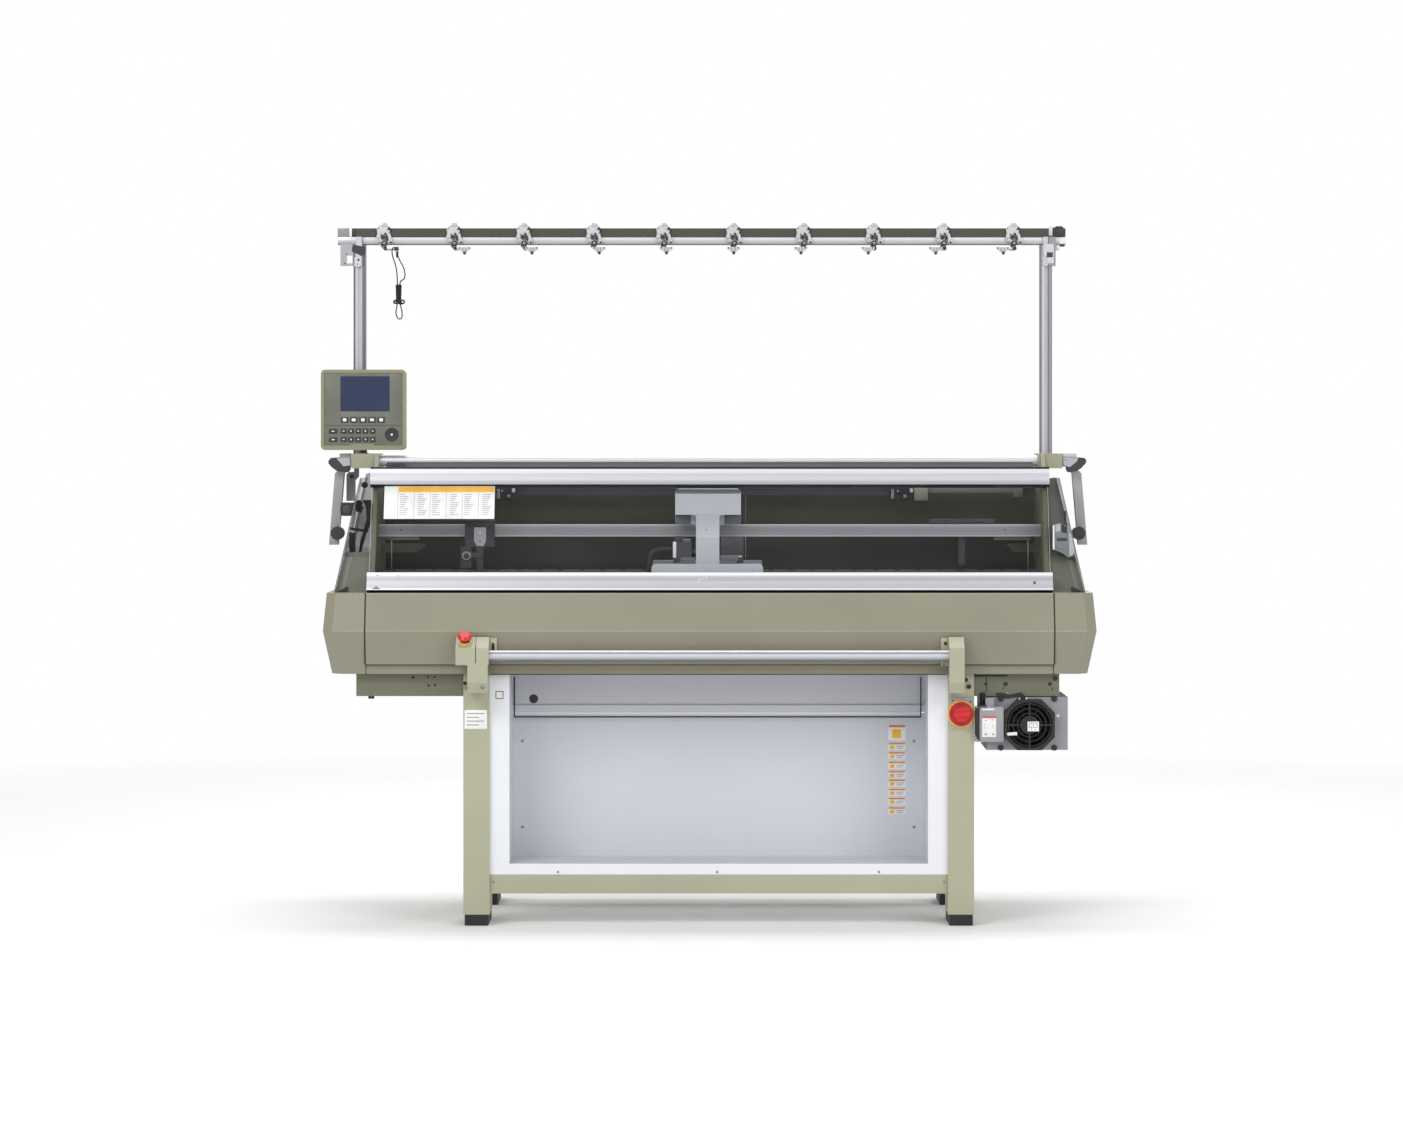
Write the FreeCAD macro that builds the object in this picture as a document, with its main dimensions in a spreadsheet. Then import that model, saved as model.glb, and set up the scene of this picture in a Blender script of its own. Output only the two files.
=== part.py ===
import FreeCAD, Part

"""Flat knitting machine on two leg frames, with a lift-up front window, a travelling
carriage, ten yarn tension units on a beam and a swivelling control panel.

Millimetres. +X runs to the right of a person who stands in front of the machine,
+Y to the back and +Z up. The origin is under the middle of the machine, on the floor.
"""

import math
import os
import re

import Sketcher

# Driving dimensions, in millimetres and degrees. Every piece takes its size from here.
SIZES = {
    # running fits and seats
    "slide_gap": 0.3,
    "bore_gap": 0.1,
    "sheet_wall": 3,
    # leg frames, feet and cross beams
    "leg_middle": 38.2,
    "leg_spread": 1357.5,
    "leg_width": 73,
    "leg_depth": 160,
    "leg_front": -345,
    "leg_rear": 385,
    "leg_top": 765,
    "leg_rail_height": 75,
    "foot_height": 31,
    "foot_width": 65.5,
    "foot_length": 205,
    "foot_bevel": 8,
    "rear_foot_shift": 23,
    "beam_low": 89,
    "beam_height": 53.5,
    "beam_depth": 40,
    "beam_setback": 12,
    # fabric bin between the legs
    "bin_post_width": 55.5,
    "bin_top": 702,
    "bin_sill": 29.5,
    "bin_frame_depth": 18,
    "bin_back": -80,
    "bin_back_top": 579,
    "bin_wall": 2,
    "bin_panel_low": 583.5,
    "bin_panel_front": -112,
    "bin_lip_height": 20,
    "bin_lip_depth": 6,
    "bin_port_radius": 13,
    "bin_port_side": 515,
    "bin_port_height": 621.5,
    # machine body: bed casting and covers
    "body_middle": 13,
    "bed_half_length": 954,
    "bed_front": -300,
    "bed_middle": -90,
    "bed_slot_half": 50,
    "bed_top": 990,
    "bed_plate": 20,
    "bed_verge_gap": 20,
    "bed_end_web": 18,
    "bed_groove_pitch": 60,
    "bed_groove_width": 12,
    "bed_groove_depth": 3,
    "bed_groove_length": 40,
    "bed_groove_over": 1,
    "cover_reach": 8.5,
    "cover_top": 932,
    "cover_top_front": -365,
    "cover_crease": 827,
    "cover_crease_front": -395,
    "cover_fold": 733,
    "cover_fold_front": -375,
    "cover_hem": 706,
    "cover_hem_front": -362,
    "cover_flange_back": -335,
    "end_crease_reach": 119,
    "end_top_reach": 110.5,
    "end_hem_reach": 95.5,
    "end_chamfer": 28,
    "end_floor": 4,
    "end_wall": 4,
    "rear_back": 455.3,
    "rear_top": 1245,
    "rear_top_back": 215,
    "rear_shoulder": 1010,
    "rear_low": 750,
    "rear_hem_back": 396,
    "rear_front": 136,
    "rear_floor_front": 150,
    "under_box_low": 642,
    "under_box_front": -330,
    "under_box_depth": 280,
    "left_under_lap": 28.5,
    "right_under_lap": 17.5,
    "under_leg_gap": 1.55,
    # side frames, knuckles and rails
    "side_plate": 12,
    "side_setback": 20,
    "side_back": 128,
    "side_shoulder": 1180,
    "tube_axis_depth": -100,
    "tube_rise": 368,
    "tube_radius": 16,
    "knuckle_front": -132,
    "knuckle_back": 8,
    "knuckle_below": 21,
    "knuckle_above": 21,
    "knuckle_shelf": 8,
    "left_knuckle_reach": 68,
    "left_knuckle_lap": 12,
    "right_knuckle_reach": 50,
    "right_knuckle_lap": 20,
    "carriage_rail_front": -284,
    "carriage_rail_depth": 22,
    "carriage_rail_low": 925,
    "carriage_rail_top": 947,
    "yarn_rail_front": -136,
    "yarn_rail_depth": 32,
    "yarn_rail_low": 1085,
    "yarn_rail_top": 1119,
    "yarn_rail_slot": 8,
    "upper_rail_front": 76,
    "upper_rail_depth": 20,
    "upper_rail_low": 1200,
    "upper_rail_height": 24,
    "back_panel_front": 128,
    "back_panel_wall": 4,
    "back_panel_low": 812,
    "back_panel_top": 1240,
    # lift-up window
    "window_foot": -341,
    "window_low": 935,
    "window_lean": 24,
    "window_end_gap": 1.5,
    "pane_thickness": 4,
    "pane_seat": 10,
    "lower_rail_height": 52.5,
    "rail_to_tube": 21.96,
    "head_rail_height": 53.7,
    "rail_out": 14,
    "rail_in": 12,
    "pane_end_seat": 21,
    "strip_end_gap": 41,
    "strip_thickness": 4,
    "strip_drop": 7,
    "left_arm_reach": 102,
    "right_arm_reach": 92,
    "grip_reach": 22,
    "grip_drop": 33,
    "grip_thickness": 26,
    "grip_fillet": 8,
    # side shields
    "shield_thickness": 4,
    "shield_lean": 11,
    "shield_inset": 21,
    "shield_back": 60,
    "shield_height": 325,
    "shield_top_front": -190,
    "shield_front_gap": 35,
    "knob_radius": 19,
    "knob_length": 36,
    "knob_rise": 231,
    "knob_depth": -150,
    # side arms of the window
    "sleeve_wall": 5,
    "sleeve_cut": 9,
    "arm_front": -84,
    "arm_depth": 40,
    "arm_width": 26,
    "arm_hip": 3,
    "arm_shoulder": 16,
    "arm_drop": 20,
    "arm_splay": 33,
    "arm_length": 240,
    "arm_knob_shift": 6,
    "arm_knob_rise": 34,
    # carriage
    "carriage_middle": 6,
    "cam_half_length": 157,
    "cam_front": -290,
    "cam_top": 1011,
    "cam_float": 4,
    "cam_nose_drop": 32,
    "cam_lip": 16,
    "cam_back": -168,
    "stem_left": -26,
    "stem_right": 40,
    "stem_front": -200,
    "stem_depth": 30,
    "head_left": -85,
    "head_right": 101,
    "head_low": 1148,
    "head_throat": 1120,
    "head_skirt": 16,
    "head_top": 1220,
    "head_bevel": 12,
    "head_fillet": 10,
    "head_back": -60,
    "bridge_low": 1140,
    "bridge_thickness": 40,
    "rear_stem_front": 40,
    "rear_stem_depth": 28,
    "motor_front": -245,
    "motor_back": -212,
    "left_motor_start": -91,
    "left_motor_end": -39,
    "left_motor_low": 1027,
    "left_motor_top": 1072,
    "right_motor_start": 44,
    "right_motor_end": 108,
    "right_motor_low": 1034,
    "right_motor_top": 1085,
    "motor_tie": 10,
    "hose_radius": 8,
    "hose_depth": -228,
    "hose_bend": 44,
    "hose_low": 965,
    "clamp_half": 20,
    "clamp_height": 14,
    # yarn carriers
    "left_carrier_start": -683.5,
    "left_carrier_end": -599.5,
    "carrier_low": 1055,
    "carrier_top": 1131,
    "carrier_plate": 13,
    "carrier_lane": 15,
    "feeder_start": -650,
    "feeder_width": 19,
    "feeder_depth": 8,
    "feeder_low": 980,
    "right_carrier_start": 640,
    "right_carrier_end": 824.5,
    "right_carrier_lane": 16,
    "right_carrier_hook": 12,
    "right_feeder_middle": 732,
    # belt drive
    "pulley_radius": 25,
    "belt_drop": 25,
    "pulley_front": 113,
    "pulley_width": 12,
    "pulley_flange": 2,
    "pulley_inset": 54,
    "belt_thickness": 2.5,
    "belt_width": 10,
    "axle_radius": 6,
    # takedown rollers
    "takedown_radius": 24,
    "nip_radius": 20,
    "roller_height": 820,
    "takedown_depth": -66,
    "nip_depth": -111,
    "roller_end_gap": 4,
    "journal_radius": 8,
    # stand and thread beam
    "post_width": 35,
    "left_post_reach": 50.5,
    "right_post_reach": 10,
    "post_depth": -25,
    "post_slot": 9,
    "post_slot_depth": 6,
    "thread_tube_low": 1919,
    "thread_tube_height": 23,
    "thread_tube_depth": 30,
    "channel_height": 24.5,
    "channel_wall": 3,
    "channel_depth": 34,
    "thread_left_reach": 62.5,
    "thread_right_reach": 56,
    "bracket_low": 1858,
    "bracket_plate": 6,
    "bracket_wide": 54.5,
    "bracket_narrow": 8.5,
    "bracket_right_reach": 27,
    "bracket_hole": 16,
    # yarn tension units
    "unit_count": 10,
    "unit_left_margin": 136.4,
    "unit_right_margin": 147,
    "unit_width": 38.7,
    "unit_height": 53.6,
    "unit_shift": 6,
    "unit_hook_half": 11,
    "unit_top": 1981,
    "unit_plate": 8,
    "unit_disc_radius": 11,
    "unit_disc_length": 14,
    "unit_arm_length": 62,
    "unit_arm_radius": 2.5,
    "unit_arm_fan": 8.5,
    "unit_arm_drop": 12,
    # control panel
    "panel_left_reach": 120.1,
    "panel_right_reach": 121.5,
    "panel_rise": 10,
    "panel_height": 229,
    "panel_front": -135,
    "panel_depth": 50,
    "panel_corner": 12,
    "panel_face_margin": 9,
    "panel_face_depth": 2,
    "screen_width": 140,
    "screen_height": 100,
    "screen_side": -40,
    "screen_rise": 160,
    "screen_glass": 3,
    "key_height": 2.5,
    "key_left": 57.5,
    "key_step": 20.6,
    "key_width": 15.5,
    "key_tall": 14,
    "key_low": 23,
    "key_upper": 47,
    "function_key_step": 26,
    "function_key_low": 78,
    "function_key_width": 20.5,
    "function_key_tall": 16,
    "side_key_left": 23.5,
    "side_key_width": 23,
    "side_key_tall": 13,
    "pad_radius": 19,
    "pad_side": 202,
    "pad_rise": 44,
    "neck_shift": 17,
    "neck_radius": 14,
    "neck_y": -108,
    "tilt_rise": 15,
    "tilt_pin_radius": 4,
    "tilt_pin_half": 26,
    "tongue_half": 9,
    "tongue_radius": 9,
    "tongue_room": 13,
    # start bar and switches
    "bar_radius": 16,
    "bar_depth": -415,
    "bar_height": 759,
    "bar_start": -601.5,
    "bar_end": 679,
    "bar_socket": 14,
    "bracket_front": -451,
    "bracket_inner": -399,
    "bracket_foot": 656,
    "bracket_step": 701,
    "bracket_split": 735,
    "bracket_head": 811,
    "bracket_fillet": 12,
    "bracket_land": 5,
    "left_box_start": -693,
    "left_arm_start": -660,
    "left_arm_end": -604,
    "right_head_start": 679,
    "right_head_end": 721,
    "stop_x": -667.6,
    "stop_tilt": 31,
    "stop_radius": 19.5,
    "stop_cap": 11,
    "stop_collar": 13,
    "stop_collar_height": 10,
    "stop_collar_sink": 6,
    "stop_stem": 8,
    "stop_sink": 10,
    "stop_travel": 5,
    "switch_x": 717,
    "switch_height": 593,
    "switch_plate_width": 72,
    "switch_plate_height": 84,
    "switch_plate_wall": 3,
    "switch_radius": 34,
    "switch_disc": 8,
    "switch_grip": 14,
    "switch_grip_width": 15,
    # cooling fan unit
    "fan_box_start": 788.8,
    "fan_box_width": 228,
    "fan_box_low": 491,
    "fan_box_height": 148.4,
    "fan_box_front": -330,
    "fan_box_depth": 266,
    "fan_x": 907.4,
    "fan_height": 563,
    "fan_across": 141,
    "fan_frame_depth": 32,
    "fan_duct": 64,
    "fan_corner_cut": 36,
    "fan_hub": 26,
    "fan_blades": 7,
    "fan_blade_reach": 60,
    "fan_blade_chord": 26,
    "fan_blade_wall": 2,
    "fan_blade_twist": 38,
    "guard_bar": 2.5,
    "guard_ring_step": 13,
    "guard_rings": 3,
    "connector_start": 755,
    "connector_width": 79.6,
    "connector_low": 515.9,
    "connector_height": 98.2,
    "connector_depth": 30,
    "conduit_radius": 7,
    "conduit_x": 770,
    # cord that hangs from the first tension unit
    "cord_radius": 1.7,
    "cord_hank_radius": 9,
    "cord_hank_top": 1803.3,
    "cord_hank_low": 1757.5,
}

# Places that follow from the sizes, as sums of them.
PLACES = {
    "cover_half_length": "bed_half_length+cover_reach",
    "tube_axis_height": "cover_top+tube_rise",
    "knuckle_low": "tube_axis_height-knuckle_below",
    "knuckle_top": "tube_axis_height+knuckle_above",
    "upper_rail_end": "(tube_axis_height-window_low-rail_to_tube)/cos(window_lean)",
    "upper_rail_start": "upper_rail_end-head_rail_height",
    "arm_low": "tube_axis_height-arm_length",
    "cam_nose": "bed_top-cam_nose_drop",
    "panel_low": "knuckle_top+panel_rise",
    "tilt_height": "panel_low+tilt_rise",
    "bracket_slope": "(bracket_inner-bracket_land-bracket_front)*tan(stop_tilt)",
    "end_half_crease": "cover_half_length+end_crease_reach",
    "end_half_top": "cover_half_length+end_top_reach",
    "end_half_hem": "cover_half_length+end_hem_reach",
    "window_half_length": "cover_half_length-window_end_gap",
    "pane_half_length": "window_half_length-pane_end_seat",
    "strip_half_length": "window_half_length-strip_end_gap",
    "shield_foot_half": "end_half_top-shield_inset",
    "left_under_start": "body_middle-(cover_half_length+left_under_lap)",
    "left_under_end": "leg_middle-leg_spread/2-leg_width/2-under_leg_gap",
    "right_under_start": "leg_middle+leg_spread/2+leg_width/2+under_leg_gap",
    "right_under_end": "body_middle+cover_half_length+right_under_lap",
    "left_knuckle_start": "body_middle-(bed_half_length+left_knuckle_reach)",
    "left_knuckle_end": "body_middle-(bed_half_length-left_knuckle_lap)",
    "right_knuckle_start": "body_middle+bed_half_length-right_knuckle_lap",
    "right_knuckle_end": "body_middle+bed_half_length+right_knuckle_reach",
    "pulley_height": "carriage_rail_low-belt_drop",
    "pulley_half_spread": "bed_half_length-pulley_inset",
    "post_left": "body_middle-(bed_half_length+left_post_reach)",
    "post_right": "body_middle+bed_half_length+right_post_reach",
    "thread_left": "post_left-thread_left_reach",
    "thread_right": "post_right+thread_right_reach",
    "unit_first": "thread_left+unit_left_margin",
    "unit_pitch": "(thread_right-unit_right_margin-unit_first)/(unit_count-1)",
    "neck_x": "post_left+neck_shift",
    "panel_left": "neck_x-panel_left_reach",
    "panel_right": "neck_x+panel_right_reach",
}

doc = FreeCAD.newDocument("flat_knitting_machine")
sheet = doc.addObject("Spreadsheet::Sheet", "Sizes")
for row, (alias, value) in enumerate(SIZES.items(), 1):
    sheet.set(f"A{row}", alias)
    sheet.set(f"B{row}", str(value))
    sheet.setAlias(f"B{row}", alias)
doc.recompute()

PLANES = {"x": "YZ_Plane", "y": "XZ_Plane", "z": "XY_Plane"}
FACING = {"x": 1, "y": -1, "z": 1}
TURNS = {
    "x": FreeCAD.Rotation(FreeCAD.Vector(0, 1, 0), 90),
    "y": FreeCAD.Rotation(FreeCAD.Vector(1, 0, 0), -90),
    "z": FreeCAD.Rotation(),
}
SUBPARTS = []


def formula(text):
    """A size or a sum of sizes, as an expression that reads the spreadsheet."""
    def expand(match):
        name = match[0]
        if name in PLACES:
            return f"({formula(PLACES[name])})"
        return "Sizes." + name if name in SIZES else name
    return re.sub(r"[a-z][a-z_]*[a-z]", expand, str(text))


def tie(piece, prop, text):
    piece.setExpression(prop, formula(text))


def keep(piece, label):
    """Name a finished sub-part."""
    piece.Label = label
    SUBPARTS.append(piece)
    return piece


# ---- profile pieces: sketches on a body's own origin planes, padded along one axis


def sketch_on(body, axis, offset, loops):
    """A sketch at right angles to axis. A loop is a list of points or a circle (u, v, radius)."""
    plane = [f for f in body.Origin.OriginFeatures if f.Role == PLANES[axis]][0]
    sketch = body.newObject("Sketcher::SketchObject", "Profile")
    sketch.AttachmentSupport = (plane, "")
    sketch.MapMode = "FlatFace"
    tie(sketch, "AttachmentOffset.Base.z", offset)
    for loop in loops:
        draw_circle(sketch, loop) if isinstance(loop, tuple) else draw_polygon(sketch, loop)
    return sketch


def draw_circle(sketch, loop):
    u, v, radius = loop
    edge = sketch.addGeometry(Part.Circle(FreeCAD.Vector(), FreeCAD.Vector(0, 0, 1), 1))
    for kind, text in (("DistanceX", u), ("DistanceY", v)):
        place = sketch.addConstraint(Sketcher.Constraint(kind, -1, 1, edge, 3, 0))
        tie(sketch, f"Constraints[{place}]", text)
    size = sketch.addConstraint(Sketcher.Constraint("Radius", edge, 1))
    tie(sketch, f"Constraints[{size}]", radius)


def draw_polygon(sketch, points):
    count = len(points)
    start = [2 * math.pi * i / count for i in range(count)]
    rough = [FreeCAD.Vector(math.cos(a), math.sin(a), 0) for a in start]
    edges = [sketch.addGeometry(Part.LineSegment(rough[i], rough[(i + 1) % count])) for i in range(count)]
    for i in range(count):
        sketch.addConstraint(Sketcher.Constraint("Coincident", edges[i], 2, edges[(i + 1) % count], 1))
    for edge, spot, (u, v) in zip(edges, rough, points):
        for kind, text, near in (("DistanceX", u, spot.x), ("DistanceY", v, spot.y)):
            place = sketch.addConstraint(Sketcher.Constraint(kind, -1, 1, edge, 1, near))
            tie(sketch, f"Constraints[{place}]", text)


def add(body, axis, low, high, *loops):
    """Pad the loops from low to high along the axis."""
    start = low if FACING[axis] > 0 else f"-({high})"
    pad = body.newObject("PartDesign::Pad", "Pad")
    pad.Profile = sketch_on(body, axis, start, loops)
    tie(pad, "Length", f"({high})-({low})")
    return pad


def take(body, axis, low, high, *loops):
    """Pocket the loops from low to high along the axis."""
    start = high if FACING[axis] > 0 else f"-({low})"
    pocket = body.newObject("PartDesign::Pocket", "Pocket")
    pocket.Profile = sketch_on(body, axis, start, loops)
    tie(pocket, "Length", f"({high})-({low})")
    return pocket


def profile(label, axis, low, high, *loops):
    body = keep(doc.addObject("PartDesign::Body", "Body"), label)
    add(body, axis, low, high, *loops)
    return body


def soften(body, radius, chosen, kind="Fillet", size="Radius"):
    """Round or bevel the edges of the body that the test picks."""
    doc.recompute()
    names = [f"Edge{i}" for i, edge in enumerate(body.Shape.Edges, 1) if chosen(edge)]
    base = body.Tip
    if names:
        feature = body.newObject("PartDesign::" + kind, kind)
        feature.Base = (base, names)
        tie(feature, size, radius)


def runs(edge, axis):
    """True for a straight edge along the axis."""
    ends = [v.Point for v in edge.Vertexes]
    if len(ends) < 2 or not isinstance(edge.Curve, (Part.Line, Part.LineSegment)):
        return False
    step = ends[1] - ends[0]
    return abs(getattr(step, axis)) > 0.999 * step.Length


def rect(u_low, v_low, u_high, v_high):
    return [(u_low, v_low), (u_high, v_low), (u_high, v_high), (u_low, v_high)]


def lean(along, out):
    """A point of the window's section: along it from its foot, and out from the pane."""
    return (
        f"window_foot+({along})*sin(window_lean)-({out})*cos(window_lean)",
        f"window_low+({along})*cos(window_lean)+({out})*sin(window_lean)",
    )


# ---- primitives and booleans


def block(x_low, x_high, y_low, y_high, z_low, z_high):
    box = doc.addObject("Part::Box", "Block")
    for axis, side, low, high in (
        ("x", "Length", x_low, x_high), ("y", "Width", y_low, y_high), ("z", "Height", z_low, z_high)
    ):
        tie(box, "Placement.Base." + axis, low)
        tie(box, side, f"({high})-({low})")
    return box


def rod(axis, radius, low, high, first, second):
    """A cylinder along the axis. first and second are its centre on the other two axes."""
    piece = doc.addObject("Part::Cylinder", "Rod")
    piece.Placement = FreeCAD.Placement(FreeCAD.Vector(), TURNS[axis])
    across = {"x": "yz", "y": "xz", "z": "xy"}[axis]
    tie(piece, "Radius", radius)
    tie(piece, "Height", f"({high})-({low})")
    tie(piece, "Placement.Base." + axis, low)
    tie(piece, "Placement.Base." + across[0], first)
    tie(piece, "Placement.Base." + across[1], second)
    return piece


def prism(axis, radius, low, high, first, second):
    """A hexagonal rod along the axis, as rod() places it."""
    piece = doc.addObject("Part::Prism", "Hexagon")
    piece.Polygon = 6
    piece.Placement = FreeCAD.Placement(FreeCAD.Vector(), TURNS[axis])
    across = {"x": "yz", "y": "xz", "z": "xy"}[axis]
    tie(piece, "Circumradius", radius)
    tie(piece, "Height", f"({high})-({low})")
    tie(piece, "Placement.Base." + axis, low)
    tie(piece, "Placement.Base." + across[0], first)
    tie(piece, "Placement.Base." + across[1], second)
    return piece


def fuse(*pieces):
    joined = doc.addObject("Part::MultiFuse", "Fusion")
    joined.Shapes = list(pieces)
    return joined


def cut(base, tool):
    result = doc.addObject("Part::Cut", "Cut")
    result.Base = base
    result.Tool = tool
    return result


def group(*pieces):
    """Separate solids that share one node."""
    bundle = doc.addObject("Part::Compound", "Group")
    bundle.Links = list(pieces)
    return bundle


def side_x(side, half):
    """x of a place that lies half from the body's middle, on the left (-1) or right (1)."""
    return f"body_middle+({side})*({half})"


# ---- frame on the floor


def leg_x(side):
    return f"leg_middle+({side})*leg_spread/2"


def leg_frame(label, side):
    """Front leg, rear leg and top rail, welded from box section."""
    middle = leg_x(side)
    outline = [
        ("leg_front", "foot_height"), ("leg_front+leg_depth", "foot_height"),
        ("leg_front+leg_depth", "leg_top-leg_rail_height"), ("leg_rear-leg_depth", "leg_top-leg_rail_height"),
        ("leg_rear-leg_depth", "foot_height"), ("leg_rear", "foot_height"),
        ("leg_rear", "leg_top"), ("leg_front", "leg_top"),
    ]
    body = profile(label, "x", f"{middle}-leg_width/2", f"{middle}+leg_width/2", outline)
    if side > 0:
        add(body, "y", "leg_front-switch_plate_wall", "leg_front", rect(
            "switch_x-switch_plate_width/2", "switch_height-switch_plate_height/2",
            "switch_x+switch_plate_width/2", "switch_height+switch_plate_height/2"))
    return body


def foot(side, front):
    """A levelling block with bevelled ends."""
    middle = leg_x(side)
    body = doc.addObject("PartDesign::Body", "Foot")
    add(body, "x", f"{middle}-foot_width/2", f"{middle}+foot_width/2", [
        (front, "0"), (f"{front}+foot_length", "0"), (f"{front}+foot_length", "foot_height-foot_bevel"),
        (f"{front}+foot_length-foot_bevel", "foot_height"), (f"{front}+foot_bevel/4", "foot_height"),
        (front, "foot_height-foot_bevel/4"),
    ])
    return body


leg_frame("left_leg_frame", -1)
leg_frame("right_leg_frame", 1)
REAR_FOOT = "leg_rear+rear_foot_shift-foot_length"
keep(group(*[foot(side, front) for side in (-1, 1) for front in ("leg_front", REAR_FOOT)]), "feet")

LEFT_INSIDE = f"{leg_x(-1)}+leg_width/2"
RIGHT_INSIDE = f"{leg_x(1)}-leg_width/2"
BEAM_TOP = "beam_low+beam_height"


def cross_beam(label, front):
    """Box section between the leg frames."""
    body = profile(label, "x", LEFT_INSIDE, RIGHT_INSIDE, rect(
        front, "beam_low", f"{front}+beam_depth", BEAM_TOP))
    take(body, "x", LEFT_INSIDE, RIGHT_INSIDE, rect(
        f"{front}+sheet_wall", "beam_low+sheet_wall",
        f"{front}+beam_depth-sheet_wall", f"{BEAM_TOP}-sheet_wall"))


cross_beam("front_beam", "leg_front+beam_setback")
cross_beam("rear_beam", "leg_rear-beam_setback-beam_depth")

# ---- fabric bin

BIN_FRONT = "leg_front+beam_setback"
BIN_LEFT = f"{LEFT_INSIDE}+bin_post_width"
BIN_RIGHT = f"{RIGHT_INSIDE}-bin_post_width"
SILL_TOP = f"{BEAM_TOP}+bin_sill"

surround = profile("bin_surround", "y", BIN_FRONT, f"{BIN_FRONT}+bin_frame_depth", [
    (LEFT_INSIDE, BEAM_TOP), (RIGHT_INSIDE, BEAM_TOP), (RIGHT_INSIDE, "bin_top"), (BIN_RIGHT, "bin_top"),
    (BIN_RIGHT, SILL_TOP), (BIN_LEFT, SILL_TOP), (BIN_LEFT, "bin_top"), (LEFT_INSIDE, "bin_top"),
])

tray = profile(
    "bin_back_panel", "y", f"{BIN_FRONT}+bin_frame_depth", "bin_back",
    rect(f"{BIN_LEFT}-bin_wall", f"{SILL_TOP}-bin_wall", f"{BIN_RIGHT}+bin_wall", "bin_back_top"))
take(tray, "y", f"{BIN_FRONT}+bin_frame_depth", "bin_back-bin_wall",
     rect(BIN_LEFT, SILL_TOP, BIN_RIGHT, "bin_back_top+bin_wall"))
add(tray, "y", f"{BIN_FRONT}+bin_frame_depth", "bin_panel_front",
    rect(f"{BIN_LEFT}-bin_wall", "bin_back_top-bin_wall", BIN_LEFT, "bin_top"),
    rect(BIN_RIGHT, "bin_back_top-bin_wall", f"{BIN_RIGHT}+bin_wall", "bin_top"))

upper = profile("bin_upper_panel", "y", "bin_panel_front", "bin_panel_front+bin_wall",
                rect(f"{BIN_LEFT}-bin_wall", "bin_panel_low", f"{BIN_RIGHT}+bin_wall", "leg_top"),
                ("leg_middle-bin_port_side-bin_port_radius", "bin_port_height", "bin_port_radius"))
add(upper, "y", "bin_panel_front-bin_lip_depth", "bin_panel_front",
    rect(BIN_LEFT, "bin_panel_low", BIN_RIGHT, "bin_panel_low+bin_lip_height"))

# ---- bed casting with its two needle beds

# Needle beds lie at 45 degrees, so a step up is a step along.
BED_RISE = "bed_top-(bed_middle-bed_verge_gap)"
PLATE_DROP = "bed_plate*sqrt(2)"
BED_FOOT_TOP = f"bed_front+{BED_RISE}-{PLATE_DROP}"
BED_SHOULDER = f"bed_middle-bed_slot_half+{BED_RISE}-{PLATE_DROP}"


def mirror_y(text):
    """The same place on the rear half of the bed."""
    return f"2*bed_middle-({text})"


def both_halves(points):
    return [points, [(mirror_y(y), z) for y, z in points]]


LEFT_END = side_x(-1, "bed_half_length-side_plate-slide_gap")
RIGHT_END = side_x(1, "bed_half_length-side_plate-slide_gap")
LEFT_WEB = side_x(-1, "bed_half_length-side_plate")
RIGHT_WEB = side_x(1, "bed_half_length-side_plate")

half_bed = [
    ("bed_front", "leg_top"), ("bed_middle-bed_slot_half", "leg_top"),
    ("bed_middle-bed_slot_half", BED_SHOULDER), ("bed_front", BED_FOOT_TOP),
]
bed = profile("bed_frame", "x", LEFT_WEB, RIGHT_WEB, half_bed)
add(bed, "x", LEFT_WEB, RIGHT_WEB, both_halves(half_bed)[1])
web_outline = [
    ("bed_front", "leg_top"), (mirror_y("bed_front"), "leg_top"), (mirror_y("bed_front"), BED_FOOT_TOP),
    (mirror_y("bed_middle-bed_slot_half"), BED_SHOULDER), ("bed_middle-bed_slot_half", BED_SHOULDER),
    ("bed_front", BED_FOOT_TOP),
]
JOURNALS = (
    ("takedown_depth", "roller_height", "journal_radius+bore_gap"),
    ("nip_depth", "roller_height", "journal_radius+bore_gap"),
)
add(bed, "x", LEFT_WEB, f"{LEFT_WEB}+bed_end_web", web_outline)
add(bed, "x", f"{RIGHT_WEB}-bed_end_web", RIGHT_WEB, web_outline)
for low, high in ((LEFT_WEB, f"{LEFT_WEB}+bed_end_web"), (f"{RIGHT_WEB}-bed_end_web", RIGHT_WEB)):
    take(bed, "x", low, high, *JOURNALS)


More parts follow.
